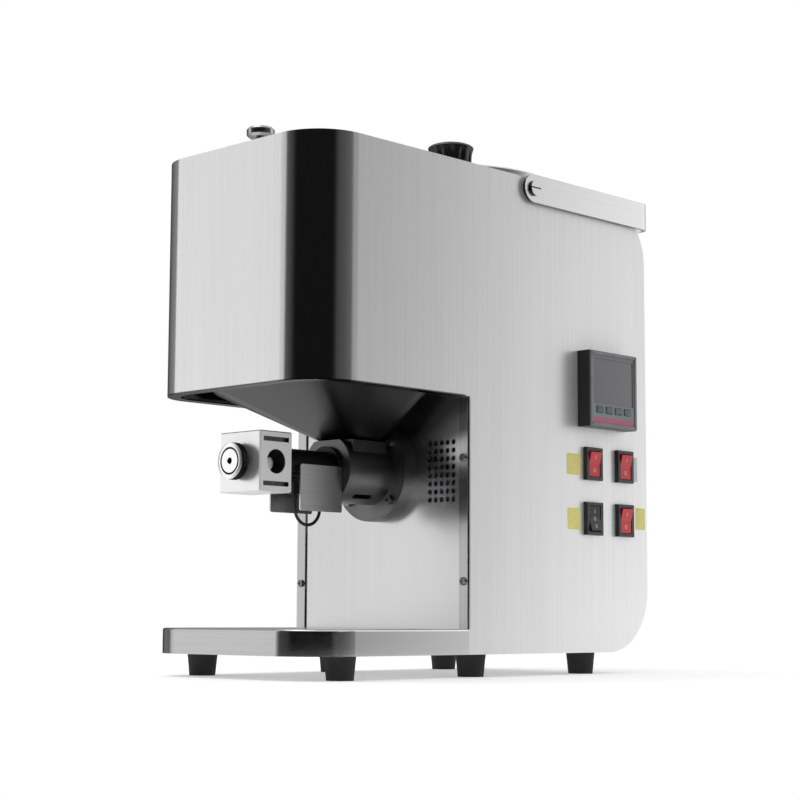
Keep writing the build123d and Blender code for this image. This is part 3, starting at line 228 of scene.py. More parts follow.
class Tree:
    """A node tree whose nodes are made by one method."""

    def __init__(self, tree):
        self.tree = tree

    def feed(self, socket, value):
        """Link a Value to a socket, or set a plain number, colour or vector on it."""
        if isinstance(value, Value):
            self.tree.links.new(value.socket, socket)
        elif socket.type == "RGBA" and len(value) == 3:
            socket.default_value = (*value, 1.0)
        else:
            socket.default_value = value

    def node(self, kind, settings=None, sockets=None, output=0):
        """A node of any type: its settings are set first, then its sockets, by name or number."""
        node = self.tree.nodes.new(kind)
        for name, value in (settings or {}).items():
            if name == "stops":
                ramp = node.color_ramp.elements
                while len(ramp) < len(value):
                    ramp.new(1.0)
                for stop, (place, colour) in zip(ramp, value):
                    stop.position = place
                    stop.color = (*colour, 1.0)
            else:
                setattr(node, name, value)
        for key, value in (sockets or {}).items():
            self.feed(node.inputs[key], value)
        return Value(self, node.outputs[output])

    def noise(self, vector, scale, detail=3.0, roughness=0.55):
        """Noise around one half, at so many cells a metre."""
        return self.node("ShaderNodeTexNoise", None, {"Vector": vector, "Scale": scale,
                                                      "Detail": detail, "Roughness": roughness})

    def axes(self, vector):
        """The three numbers of a vector."""
        node = self.node("ShaderNodeSeparateXYZ", None, {"Vector": vector}).socket.node
        return [Value(self, out) for out in node.outputs]

    def mix(self, factor, first, second):
        """One colour turning into another."""
        return self.node("ShaderNodeMix", {"data_type": "RGBA"},
                         {MIX_FACTOR: factor, MIX_FIRST: first, MIX_SECOND: second}, MIX_RESULT)

    def between(self, value, low, high):
        """A number turned to nought at low and one at high."""
        return self.node("ShaderNodeMapRange", {"interpolation_type": "SMOOTHSTEP"},
                         {"Value": value, "From Min": low, "From Max": high})

    def within(self, value, low, high, soft=0.1 * MM):
        """One between two limits and nought outside them, with soft edges."""
        above = self.between(value, low - soft, low + soft)
        return above * (1.0 - self.between(value, high - soft, high + soft))

    def away(self, value, middle):
        """How far a number is from a middle, to either side."""
        return (value - middle).maths("ABSOLUTE")


class Finish(Tree):
    """One procedural material with a Principled shader."""

    def __init__(self, name, **constants):
        self.material = bpy.data.materials.new(name)
        self.material.use_nodes = True
        super().__init__(self.material.node_tree)
        self.shader = self.tree.nodes["Principled BSDF"]
        self.place = self.node("ShaderNodeTexCoord", None, None, "Object")
        for socket, value in constants.items():
            self.set(socket.replace("_", " ").title(), value)

    def set(self, socket, value):
        """Feed one socket of the shader."""
        self.feed(self.shader.inputs[socket], value)

    def facing(self):
        """The three numbers of the way that the surface faces."""
        return self.axes(self.node("ShaderNodeTexCoord", None, None, "Normal"))

    def grain(self, cells, detail=4.0, roughness=0.55):
        """Noise drawn out into streaks, from its cells a metre along each axis."""
        drawn = self.node("ShaderNodeMapping", None, {"Vector": self.place, "Scale": cells})
        return self.noise(drawn, 1.0, detail, roughness)

    def skin(self, depth):
        """One on a flat face and nought where the surface has bent away below it."""
        return 1.0 - self.between(depth, 0.1 * MM, 0.8 * MM)

    def relief(self, height, strength, depth):
        """Bump from a height value."""
        self.set("Normal", self.node("ShaderNodeBump", None,
                                     {"Height": height, "Strength": strength, "Distance": depth}))

    def wear(self, nodes):
        """Put this material on CAD nodes or pieces."""
        for item in nodes:
            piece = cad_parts[item] if isinstance(item, str) else item
            piece.data.materials.clear()
            piece.data.materials.append(self.material)


# Finishes

def brushed(name, cells, roughness=None, metallic=1.0):
    """Brushed stainless sheet with fine streaks, before it has a colour.

    Without a roughness it has no clouds, and the caller sets how its gloss changes.
    """
    steel = Finish(name, metallic=metallic)
    steel.streaks = steel.grain(cells, 5.0, 0.7)
    steel.relief(steel.streaks, 0.05, 0.1 * MM)
    if roughness is not None:
        steel.clouds = steel.noise(steel.place, 7.0, 2.0)
        steel.set("Roughness", roughness + steel.streaks * 0.06 + steel.clouds * 0.02)
    return steel


def sheet(name, cells, tones, roughness, metallic=1.0):
    """Brushed stainless sheet, clouded between a dark and a light share of its colour."""
    steel = brushed(name, cells, roughness, metallic)
    dark, light = tones_of_sheet(tones)
    cover = steel.between(steel.streaks * 0.6 + steel.clouds * 0.4, 0.3, 0.7)
    steel.set("Base Color", steel.mix(cover, dark, light))
    return steel


def turned(name, centre, light, dark, roughness):
    """Lathe-turned metal: fine rings about an axis along Y through the given point."""
    metal = Finish(name, metallic=1.0)
    x, y, z = metal.axes(metal.place)
    across = ((x - centre.x) ** 2.0 + (z - centre.z) ** 2.0) ** 0.5
    along = metal.node("ShaderNodeCombineXYZ", None, {"X": across * 900.0, "Y": y * 900.0})
    rings = metal.noise(along, 1.0)
    clouds = metal.noise(metal.place, 40.0)
    cover = metal.between(rings * 0.5 + clouds * 0.5, 0.35, 0.65)
    metal.set("Base Color", metal.mix(cover, dark, light))
    metal.set("Roughness", roughness - 0.08 + rings * 0.12 + clouds * 0.04)
    metal.relief(rings, 0.25, 0.1 * MM)
    return metal


def fine_grained(name, roughness, cells=900.0, metallic=0.0, coat=0.0, depth=0.12 * MM):
    """Fine-grained moulded, cast or painted surface, before it has a colour."""
    surface = Finish(name, metallic=metallic, coat_weight=coat)
    surface.specks = surface.noise(surface.place, cells, 3.0, 0.6)
    surface.clouds = surface.noise(surface.place, cells / 24)
    surface.set("Roughness", roughness - 0.06 + surface.specks * 0.08 + surface.clouds * 0.06)
    surface.relief(surface.specks, 0.2, depth)
    return surface


def satin(name, light, dark, roughness, **grain):
    """Fine-grained surface with faint clouds between two colours."""
    surface = fine_grained(name, roughness, **grain)
    cover = surface.between(surface.specks * 0.4 + surface.clouds * 0.6, 0.35, 0.65)
    surface.set("Base Color", surface.mix(cover, dark, light))
    return surface


# Modelling

def start(add, **size):
    """Add one primitive at the origin and go into edit mode, with all of it selected."""
    bpy.ops.object.select_all(action="DESELECT")
    add(**size)
    bpy.ops.object.mode_set(mode="EDIT")
    bpy.ops.mesh.select_all(action="SELECT")
    return bpy.context.object


def pick(piece, test):
    """Select the vertices of the piece in edit mode that pass a test."""
    bpy.ops.mesh.select_mode(type="VERT")
    bpy.ops.mesh.select_all(action="DESELECT")
    mesh = bmesh.from_edit_mesh(piece.data)
    for vertex in mesh.verts:
        vertex.select_set(test(vertex.co))
    mesh.select_flush_mode()
    bmesh.update_edit_mesh(piece.data)


def in_stripe(place, stripe, share):
    """Whether a place lies in the middle share of one of the stripes round the upright axis."""
    return abs(math.atan2(place.y, place.x) % stripe - stripe / 2) < share * stripe


def widen(share):
    """Draw the selected vertices in or out from the piece's own upright axis."""
    bpy.ops.transform.resize(value=(share, share, 1), center_override=(0, 0, 0))


def lift(height):
    """Extrude what is selected upwards."""
    bpy.ops.mesh.extrude_region_move(TRANSFORM_OT_translate={"value": (0, 0, height)})


def lathe(profile, vertices):
    """A piece turned about its upright axis, ring by ring through its radii and heights."""
    radius, height = profile[0]
    piece = start(bpy.ops.mesh.primitive_circle_add, vertices=vertices, radius=radius)
    bpy.ops.transform.translate(value=(0, 0, height))
    for new_radius, new_height in profile[1:]:
        lift(new_height - height)
        widen(new_radius / radius)
        radius, height = new_radius, new_height
    return piece


def face_outwards():
    """Turn all faces of the piece in edit mode outwards."""
    bpy.ops.mesh.select_all(action="SELECT")
    bpy.ops.mesh.normals_make_consistent(inside=False)


def close_ends():
    """Fill the open rings of the piece in edit mode and turn its faces outwards."""
    bpy.ops.mesh.select_mode(type="EDGE")
    bpy.ops.mesh.select_all(action="DESELECT")
    bpy.ops.mesh.select_non_manifold()
    bpy.ops.mesh.edge_face_add()
    bpy.ops.mesh.select_all(action="SELECT")
    bpy.ops.mesh.remove_doubles(threshold=0.01 * MM)
    face_outwards()


def modify(piece, kind, **values):
    """Leave edit mode, add one modifier with its settings and apply it."""
    bpy.ops.object.mode_set(mode="OBJECT")
    bpy.ops.object.modifier_add(type=kind)
    modifier = piece.modifiers[-1]
    for name, value in values.items():
        setattr(modifier, name, value)
    bpy.ops.object.modifier_apply(modifier=modifier.name)


def put(piece, name, body, place, turn=(0, 0, 0), smooth=35):
    """Leave edit mode, set the finished piece in its place and let it ride on a body."""
    bpy.ops.object.mode_set(mode="OBJECT")
    piece.name = name
    piece.location = place
    piece.rotation_euler = turn
    bpy.ops.object.transform_apply(location=True, rotation=True, scale=True)
    bpy.ops.object.shade_smooth_by_angle(angle=math.radians(smooth))
    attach(piece, body)
    return piece


def copy_to(piece, name, places, body, turn):
    """Copies of a piece modelled at the origin, each with its own mesh, one at each place."""
    bpy.ops.object.mode_set(mode="OBJECT")
    copies = []
    for number, place in enumerate(places, 1):
        bpy.ops.object.select_all(action="DESELECT")
        piece.select_set(True)
        bpy.context.view_layer.objects.active = piece
        bpy.ops.object.duplicate(linked=False)
        copies.append(put(bpy.context.object, f"{name}_{number}", body, place, turn))
    bpy.data.objects.remove(piece)
    return copies


# Settings

class OilPressFinish(bpy.types.PropertyGroup):
    """Colours of the press that a user would change."""
    sheet: bpy.props.FloatVectorProperty(
        name="Sheet", description="Colour of the brushed stainless sheet", subtype="COLOR",
        default=(0.78, 0.78, 0.785), min=0, max=1)
    rocker: bpy.props.FloatVectorProperty(
        name="Rocker", description="Colour of the lit rockers", subtype="COLOR",
        default=(0.7, 0.012, 0.022), min=0, max=1)
    sticker: bpy.props.FloatVectorProperty(
        name="Sticker", description="Colour of the blank switch stickers", subtype="COLOR",
        default=(0.95, 0.86, 0.28), min=0, max=1)


class OilPressPieces(bpy.types.PropertyGroup):
    """Sizes of the small pieces that a user would change."""
    flutes: bpy.props.IntProperty(
        name="Flutes", description="Flutes round the filter lid's knob", default=12, min=3)
    teeth: bpy.props.IntProperty(
        name="Teeth", description="Teeth of the adjusting knob's knurl", default=60, min=8)
    bezel: bpy.props.FloatProperty(
        name="Frame width", description="Width of the raised frame on the controller",
        default=2.8 * MM, min=0.5 * MM, unit="LENGTH")
    cover_screw: bpy.props.FloatProperty(
        name="Cover screw", description="Head radius of the rear cover's screws",
        default=3.2 * MM, min=MM, unit="LENGTH")
    inlet_screw: bpy.props.FloatProperty(
        name="Inlet screw", description="Head radius of the mains inlet's screws",
        default=2.4 * MM, min=MM, unit="LENGTH")


class OilPressStage(bpy.types.PropertyGroup):
    """Camera and light of the studio."""
    camera: bpy.props.FloatVectorProperty(
        name="Camera", description="Place of the camera", subtype="TRANSLATION",
        default=(1.19455, -1.24779, 0.05341))
    azimuth: bpy.props.FloatProperty(
        name="Azimuth", description="Turn of the camera round the press", subtype="ANGLE",
        default=math.radians(44.15))
    pitch: bpy.props.FloatProperty(
        name="Pitch", description="Upward tilt of the camera", subtype="ANGLE",
        default=math.radians(6.63))
    roll: bpy.props.FloatProperty(
        name="Roll", description="Roll of the camera", subtype="ANGLE",
        default=math.radians(0.26))
    lens: bpy.props.FloatProperty(
        name="Lens", description="Focal length on a 36 mm sensor", default=83.5, min=10,
        unit="CAMERA")
    floor: bpy.props.FloatVectorProperty(
        name="Floor", description="Colour of the floor", subtype="COLOR",
        default=(0.95, 0.95, 0.95), min=0, max=1)
    glow: bpy.props.FloatProperty(
        name="Glow", description="Own light of the floor, as from a lit table", default=0.3, min=0)
    world: bpy.props.FloatProperty(
        name="World", description="Strength of the surrounding light", default=1.0, min=0)
    softbox: bpy.props.FloatProperty(
        name="Softbox", description="Power of the overhead softbox in watts", default=6.0, min=0,
        unit="POWER")


def settings(group):
    """One group of the press's settings."""
    return getattr(bpy.context.scene, "oil_press_" + group)


def shade(colour, share):
    """A colour made darker or lighter."""
    return tuple(min(1.0, part * share) for part in colour)


def tones_of_sheet(shares):
    """The sheet's colour in several shares."""
    return [shade(settings("finish").sheet, share) for share in shares]


def middle_of(node):
    """The middle of a node's box."""
    low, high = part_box(node)
    return (low + high) / 2


# Operators

class OILPRESS_OT_sheet(bpy.types.Operator):
    """Brushed stainless sheet of the body, hopper, pot, lids and handle"""
    bl_idname = "oil_press.sheet"
    bl_label = "Sheet metal"

    def execute(self, context):
        self.wrap().wear(["outer_wrap"])
        self.panel().wear(["column_panel"])
        self.base().wear(["base_tray"])
        self.funnel().wear(["hopper_funnel"])
        self.handle().wear(["carry_handle"])
        sheet("brushed_rear", REAR_GRAIN, REAR_TONES, 0.3).wear(SHEET_REAR)
        sheet("brushed_top", TOP_GRAIN, SHEET_TONES, 0.3, 0.7).wear(SHEET_TOP)
        sheet("brushed_guard", GUARD_GRAIN, GUARD_TONES, 0.26).wear(["oil_guards"])
        sheet("brushed_hopper", HOPPER_GRAIN, HOPPER_TONES, 0.25).wear(["hopper"])
        sheet("brushed_pot", POT_GRAIN, HOPPER_TONES, 0.25, 0.75).wear(SHEET_POT)
        return {"FINISHED"}

    def wrap(self):
        """The wrap's flat sides and front are linished softer than its bends, and painted light
        and shade vary its colour by place.
        """
        steel = brushed("brushed_wrap", WRAP_GRAIN)
        low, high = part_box("outer_wrap")
        x, y, z = steel.axes(steel.place)
        half = (high.x - low.x) / 2
        out = steel.away(x, (low.x + high.x) / 2)
        side = steel.skin(half - out)
        front = steel.skin(y - low.y)
        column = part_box("column_panel")[0].y
        flange = steel.within(y, column - FLANGE_REACH, column + FLANGE_REACH)
        flange = flange * (out < half - FLANGE_BEND)
        # Painted shade: the hem along the head's underside is painted nearly black
        hem_painted_shade = 1.0 - steel.between(z, HEAD_UNDERSIDE + 0.6 * MM, HEAD_UNDERSIDE + 1.4 * MM)
        hem_painted_shade = hem_painted_shade * (z > HEAD_UNDERSIDE - MM) * (y < low.y + HEAD_DEPTH)
        colour = settings("finish").sheet
        # Painted light and shade by place: the flanges darker on the left than on the right, the
        # sides lighter towards the rear, and the front lighter
        tone = steel.mix(steel.between(x, low.x, high.x), *tones_of_sheet(FLANGE_PAINTED_SHADE_TONES))
        tone = steel.mix(flange, colour, tone)
        tone = steel.mix(side, tone,
                         steel.mix(steel.between(y, low.y, high.y), *tones_of_sheet(SIDE_PAINTED_LIGHT_TONES)))
        tone = steel.mix(front, tone, shade(colour, FRONT_PAINTED_LIGHT_TONE))
        grain = steel.grain(WRAP_GRAIN)
        tone = steel.mix(steel.between(grain, 0.3, 0.7) * 0.08, tone, BLACK)
        steel.set("Base Color", steel.mix(hem_painted_shade, tone, shade(colour, HEM_PAINTED_SHADE_TONE)))
        softened = side + front + flange * FLANGE_SOFTENING
        steel.set("Roughness", 0.1 + grain * 0.06 + softened * FLAT_ROUGHNESS)
        steel.set("Metallic", 1.0 - side * SIDE_SOFTNESS - front * FRONT_SOFTNESS)
        return steel

    def panel(self):
        """The column panel's colour is painted brighter towards the control side, as painted
        light.
        """
        steel = brushed("brushed_panel", WRAP_GRAIN, 0.2)
        low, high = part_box("column_panel")
        x = steel.axes(steel.place)[0]
        # Painted light: the panel's colour brightens from left to right
        tone = steel.mix(steel.between(x, low.x, high.x), *tones_of_sheet(PANEL_PAINTED_LIGHT_TONES))
        steel.set("Base Color", steel.mix(steel.grain(WRAP_GRAIN) * 0.08, tone, BLACK))
        return steel

    def base(self):
        """The tray's front edge is painted darker than its sides, as painted shade, and its top is
        softer.
        """
        steel = brushed("brushed_base", TOP_GRAIN)
        low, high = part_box("base_tray")
        y, z = steel.axes(steel.place)[1:]
        top = steel.between(z, high.z - 0.5 * MM, high.z - 0.2 * MM)
        # Painted shade on the tray's front edge
        front = 1.0 - steel.between(y, low.y + 0.2 * MM, low.y + 3 * MM)
        tone = steel.mix(front, *tones_of_sheet((BASE_TONE, BASE_FRONT_PAINTED_SHADE_TONE)))
        grain = steel.grain(TOP_GRAIN)
        steel.set("Base Color", steel.mix(grain * 0.16, tone, BLACK))
        steel.set("Roughness", 0.05 + grain * 0.06 + top * 0.15)
        steel.set("Metallic", 1.0 - top * 0.3)
        return steel

    def funnel(self):
        """The funnel is bright inside, and its underside over the press head is painted dark, as
        painted shade.
        """
        steel = brushed("brushed_funnel", HOPPER_GRAIN, 0.3)
        inside = steel.between(steel.facing()[2], -0.02, 0.02)
        grain = steel.grain(HOPPER_GRAIN)
        bright = steel.mix(grain, *tones_of_sheet(HOPPER_TONES))
        # Painted shade on the underside, where the funnel faces down
        dark = steel.mix(grain, *tones_of_sheet(FUNNEL_UNDERSIDE_PAINTED_SHADE_TONES))
        steel.set("Base Color", steel.mix(inside, dark, bright))
        return steel

    def handle(self):
        """The handle's sheared edges are painted dark, as painted shade, against its faces."""
        steel = brushed("brushed_handle", HANDLE_GRAIN, 0.2)
        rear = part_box("carry_handle")[1].y
        y = steel.axes(steel.place)[1]
        # Painted shade on the edge faces of the handle's legs
        edge = (steel.away(steel.facing()[0], 0.0) < 0.5) * (y < rear - HANDLE_BEND)
        face = steel.mix(steel.grain(HANDLE_GRAIN), *tones_of_sheet(HANDLE_TONES))
        edge_painted_shade = shade(settings("finish").sheet, HANDLE_EDGE_PAINTED_SHADE_TONE)
        steel.set("Base Color", steel.mix(edge, face, edge_painted_shade))
        return steel


class OILPRESS_OT_head(bpy.types.Operator):
    """Machined metal of the feed housing, cage, screw, end block and fasteners"""
    bl_idname = "oil_press.head"
    bl_label = "Press head"

    def execute(self, context):
        axis = middle_of("press_cage")
        turned("turned_housing", axis, light=(0.21, 0.21, 0.214), dark=(0.16, 0.16, 0.163),
               roughness=0.4).wear(["feed_housing"])
        turned("turned_screw", axis, light=(0.6, 0.6, 0.6), dark=(0.45, 0.45, 0.46),
               roughness=0.3).wear(["press_screw"])
        # The choke cone is painted dark as painted shade, for its place deep in the end block's
        # hole
        turned("cone_painted_shade", axis, light=(0.12, 0.12, 0.12), dark=(0.06, 0.06, 0.06),
               roughness=0.36).wear(["choke_cone"])
        satin("blackened_cage", light=(0.03, 0.03, 0.031), dark=(0.016, 0.016, 0.017),
              roughness=0.42, cells=700, metallic=0.6).wear(CAGE_NODES)
        satin("probe_sheath", light=(0.02, 0.02, 0.022), dark=(0.012, 0.012, 0.013),
              roughness=0.5).wear(["probe_lead"])
        satin("plated_screws", light=(0.3, 0.3, 0.31), dark=(0.2, 0.2, 0.21),
              roughness=0.32, cells=1200, metallic=1.0).wear(SCREW_NODES)
        self.pivots().wear(["handle_pivots"])
        self.block().wear(["end_block"])
        return {"FINISHED"}

    def pivots(self):
        """Bright slotted faces, with the sides of the heads painted dark as painted shade."""
        metal = fine_grained("bright_pivots", 0.3, cells=1200, metallic=0.8)
        low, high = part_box("handle_pivots")
        half = (high.x - low.x) / 2
        out = metal.away(metal.axes(metal.place)[0], (low.x + high.x) / 2)
        face = metal.between(out, half - 0.9 * MM, half - 0.3 * MM)
        grain = metal.noise(metal.place, 1200.0)
        bright = metal.mix(grain, (0.7, 0.7, 0.71), (0.8, 0.8, 0.81))
        # Painted shade on the sides of the heads
        dark = metal.mix(grain, (0.04, 0.04, 0.04), (0.07, 0.07, 0.07))
        metal.set("Base Color", metal.mix(face, dark, bright))
        return metal

    def block(self):
        """Bright milled faces and chamfers, with painted shade in the grooves and holes."""
        metal = fine_grained("milled_aluminium", 0.3, cells=1400, metallic=0.8)
        low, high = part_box("end_block")
        middle = (low + high) / 2
        half = (high - low) / 2
        sunk, faces = 1.0, 0.0
        for axis, value in enumerate(metal.axes(metal.place)):
            out = metal.away(value, middle[axis])
            sunk = (1.0 - metal.between(out, half[axis] - 1.2 * MM, half[axis] - 0.3 * MM)) * sunk
            faces = metal.between(out, half[axis] - 1.3 * MM, half[axis] - 0.1 * MM) + faces
        chamfer = metal.between(faces, 1.1, 1.35)
        # Painted shade in the grooves and holes
        recess_painted_shade = metal.mix(metal.noise(metal.place, 300.0), (0.05, 0.05, 0.05), (0.16, 0.16, 0.16))
        milled = metal.mix(metal.grain(MILLED_GRAIN, 3.0), (0.9, 0.9, 0.904), (0.97, 0.97, 0.972))
        metal.set("Base Color", metal.mix(sunk, milled, recess_painted_shade))
        metal.set("Metallic", 0.8 - chamfer * 0.7)
        return metal


class OILPRESS_OT_controls(bpy.types.Operator):
    """Plastics of the controller, its keys and the rocker switches"""
    bl_idname = "oil_press.controls"
    bl_label = "Controls"

    def execute(self, context):
        satin("black_plastic", light=(0.022, 0.022, 0.023), dark=(0.014, 0.014, 0.015),
              roughness=0.35, cells=1600).wear(BLACK_NODES)
        satin("key_plastic", light=(0.15, 0.18, 0.19), dark=(0.1, 0.125, 0.13),
              roughness=0.45, cells=1600).wear(KEY_NODES)
        satin("display_window", light=(0.1, 0.1, 0.115), dark=(0.08, 0.08, 0.092), roughness=0.14,
              cells=300, coat=0.5, depth=0.02 * MM).wear(["controller_window"])
        self.controller().wear(["controller_case"])
        red = settings("finish").rocker
        for node in RED_ROCKERS:
            self.rocker(node, red, 0.25, ON_OFF_MARKS).wear([node])
        black = self.rocker("direction_rocker", BLACK_ROCKER, 0.05, TWO_WAY_MARKS)
        black.wear(["direction_rocker"])
        return {"FINISHED"}

    def controller(self):
        """Black sides, grey front, paler strip round the keys and a plain pink stripe below."""
        plastic = fine_grained("controller_plastic", 0.4, cells=1600)
        low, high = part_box("controller_case")
        x, y, z = plastic.axes(plastic.place)
        grain = plastic.noise(plastic.place, 1600.0)
        front = x > high.x - 0.4 * MM
        inner = plastic.within(y, low.y + PRINT_BORDER, high.y - PRINT_BORDER)
        strip = inner * plastic.within(z - low.z, *KEY_STRIP)
        stripe = inner * plastic.within(z - low.z, *PINK_STRIPE)
        side = plastic.mix(grain, (0.012, 0.012, 0.013), (0.02, 0.02, 0.021))
        face = plastic.mix(grain, (0.19, 0.19, 0.2), (0.23, 0.23, 0.24))
        face = plastic.mix(strip, face, (0.23, 0.27, 0.28))
        pink = plastic.mix(grain, (0.5, 0.1, 0.2), (0.56, 0.13, 0.24))
        face = plastic.mix(stripe, face, pink)
        plastic.set("Base Color", plastic.mix(front, side, face))
        return plastic

    def rocker(self, node, colour, coat, marks):
        """Glossy rocker with plain on and off marks printed on its face."""
        plastic = fine_grained(node + "_plastic", 0.28, cells=500, coat=coat, depth=0.03 * MM)
        plastic.set("Specular IOR Level", 0.3)
        middle = middle_of(node)
        x, y, z = plastic.axes(plastic.place)
        across = plastic.away(y, middle.y)
        printed = 0.0
        for kind, rise in marks:
            up = plastic.away(z, middle.z + rise)
            if kind == "ring":
                radius = (across ** 2.0 + up ** 2.0) ** 0.5
                mark = plastic.within(radius, *RING_RADII)
            else:
                aside = BAR_ASIDE[kind]
                stroke = plastic.within(across, aside - BAR_HALF_WIDTH, aside + BAR_HALF_WIDTH)
                mark = stroke * (up < BAR_HALF_HEIGHT)
            printed = mark + printed
        printed = printed * (x > middle.x)
        body = plastic.mix(plastic.noise(plastic.place, 40.0), shade(colour, 0.8), colour)
        plastic.set("Base Color", plastic.mix(printed, body, MARK_COLOUR))
        return plastic


class OILPRESS_OT_trim(bpy.types.Operator):
    """Rubber of the feet, gasket and hose, and the polished knob of the hopper lid"""
    bl_idname = "oil_press.trim"
    bl_label = "Feet and lid knob"

    def execute(self, context):
        satin("black_rubber", light=(0.02, 0.02, 0.02), dark=(0.012, 0.012, 0.012),
              roughness=0.75).wear(RUBBER_NODES)
        satin("polished_knob", light=(0.42, 0.42, 0.43), dark=(0.34, 0.34, 0.35), roughness=0.2,
              cells=1200, metallic=1.0, depth=0.03 * MM).wear(["lid_knob"])
        return {"FINISHED"}


class OILPRESS_OT_drive(bpy.types.Operator):
    """Finishes of the gear train, the motor and the vacuum pump inside"""
    bl_idname = "oil_press.drive"
    bl_label = "Drive inside"

    def execute(self, context):
        turned("gear_steel", middle_of("output_shaft"), light=(0.5, 0.5, 0.5),
               dark=(0.36, 0.36, 0.36), roughness=0.32).wear(GEAR_NODES)
        satin("cast_aluminium", light=(0.6, 0.6, 0.61), dark=(0.46, 0.46, 0.47), roughness=0.5,
              cells=500, metallic=1.0, depth=0.4 * MM).wear(CAST_NODES)
        satin("motor_paint", light=(0.1, 0.115, 0.13), dark=(0.07, 0.08, 0.09), roughness=0.45,
              cells=700, coat=0.2).wear(PAINTED_NODES)
        satin("stator_laminations", light=(0.09, 0.085, 0.08), dark=(0.04, 0.04, 0.04),
              roughness=0.5, cells=400, metallic=0.6).wear(["motor_stator"])
        return {"FINISHED"}


class OILPRESS_OT_filter_knob(bpy.types.Operator):
    """Black fluted knob of the filter lid"""
    bl_idname = "oil_press.filter_knob"
    bl_label = "Filter knob"

    def execute(self, context):
        low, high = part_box("filter_knob")
        height = high.z - low.z
        rim = (high.x - low.x) / 2
        waist = 0.9 * rim
        stem, stem_top = 9 * MM, 10 * MM
        skirt, skirt_top = waist - 3 * MM, 14 * MM
        profile = [(stem, 0), (stem, stem_top), (skirt, stem_top + MM), (waist, skirt_top),
                   (waist, height - 10 * MM), (rim, height - 6 * MM), (rim, height - 4 * MM),
                   (0.8 * rim, height - 1.5 * MM), (0.45 * rim, height - 0.3 * MM),
                   (0.1 * rim, height)]
        flutes = settings("pieces").flutes
        piece = lathe(profile, 8 * flutes)
        close_ends()
        flute = math.tau / flutes
        flute_low, flute_high = stem_top + 0.5 * MM, height - 8 * MM
        pick(piece, lambda place: flute_low < place.z < flute_high
             and place.xy.length > 0.5 * rim and in_stripe(place, flute, 0.24))
        widen(0.91)
        modify(piece, "SUBSURF", levels=1, render_levels=1)
        middle = (low + high) / 2
        put(piece, "fluted_knob", "filter_cover", (middle.x, middle.y, low.z))
        satin("knob_bakelite", light=(0.016, 0.016, 0.017), dark=(0.009, 0.009, 0.01),
              roughness=0.26, cells=1200).wear([piece])
        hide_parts("filter_knob")
        return {"FINISHED"}


class OILPRESS_OT_adjuster(bpy.types.Operator):
    """Knurled adjusting knob with its ring groove, centre hole and stem"""
    bl_idname = "oil_press.adjuster"
    bl_label = "Adjusting knob"

    def execute(self, context):
        low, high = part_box("adjuster_knob")
        rim = (high.x - low.x) / 2
        length = high.y - low.y
        teeth = settings("pieces").teeth
        piece = lathe(self.profile(rim, length), 2 * teeth)
        close_ends()
        tooth = math.tau / teeth
        pick(piece, lambda place: 2.5 * MM < place.z < KNOB_BACK - MM
             and place.xy.length > rim - 0.2 * MM and in_stripe(place, tooth, 0.2))
        widen(1 - 0.7 * MM / rim)
        middle = (low + high) / 2
        put(piece, "knurled_knob", "adjuster", (middle.x, low.y, middle.z),
            turn=(-math.pi / 2, 0, 0), smooth=30)
        self.finish(middle, low.y, rim).wear([piece])
        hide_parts("adjuster_knob")
        return {"FINISHED"}

    def profile(self, rim, length):
        """Radii and heights from the centre hole's bottom, over the head, to the stem's tip."""
        groove_end, groove_depth = KNOB_GROOVE + 1.8 * MM, 1.3 * MM
        stem, tip, tip_start = 5 * MM, 3 * MM, length - 7.3 * MM
        face = [(KNOB_HOLE, 5 * MM), (KNOB_HOLE, 0.5 * MM), (KNOB_HOLE + 0.5 * MM, 0),
                (KNOB_GROOVE, 0), (KNOB_GROOVE + 0.1 * MM, groove_depth),
                (groove_end - 0.1 * MM, groove_depth), (groove_end, 0), (rim - 1.2 * MM, 0)]
        knurl = [(rim - 0.6 * MM, 0.3 * MM), (rim - 0.5 * MM, 1.6 * MM),
                 (rim - 1.1 * MM, 1.9 * MM), (rim - 1.1 * MM, 2.3 * MM),
                 (rim - 0.1 * MM, 2.6 * MM), (rim - 0.1 * MM, KNOB_BACK - 1.2 * MM),
                 (rim - 1.2 * MM, KNOB_BACK - 0.3 * MM), (rim - 1.6 * MM, KNOB_BACK)]
        shaft = [(stem + 0.2 * MM, KNOB_BACK), (stem, KNOB_BACK + 0.2 * MM), (stem, tip_start),
                 (tip, tip_start), (tip, length)]
        return face + knurl + shaft

    def finish(self, middle, front, rim):
        """Bright turned face and bare stem, with the knurl painted dark and painted shade in the
        groove and the centre hole.
        """
        metal = Finish("knurled_steel", metallic=1.0)
        x, y, z = metal.axes(metal.place)
        across = ((x - middle.x) ** 2.0 + (z - middle.z) ** 2.0) ** 0.5
        along = metal.node("ShaderNodeCombineXYZ", None, {"X": across * 1500.0})
        rings = metal.noise(along, 1.0, 2.0)
        behind = metal.between(y, front + 0.3 * MM, front + 0.9 * MM)
        groove = behind * (across > KNOB_GROOVE - 1.1 * MM)
        hole = 1.0 - metal.between(across, KNOB_HOLE + 0.1 * MM, KNOB_HOLE + 0.5 * MM)
        stem = (y > front + KNOB_BACK + MM) * (across < rim * 0.4)
        # The knurl is painted dark, and the groove and centre hole get painted shade
        dark = groove.maths("MAXIMUM", hole) * (1.0 - stem)
        bright = metal.mix(rings, (0.84, 0.84, 0.845), (0.95, 0.95, 0.955))
        dark_knurl_and_painted_shade = metal.mix(metal.noise(metal.place, 700.0), (0.012, 0.012, 0.013),
                          (0.05, 0.05, 0.052))
        metal.set("Base Color", metal.mix(dark, bright, dark_knurl_and_painted_shade))
        metal.set("Roughness", 0.24 + rings * 0.08 + dark * 0.12)
        metal.relief(rings, 0.15, 0.08 * MM)
        return metal


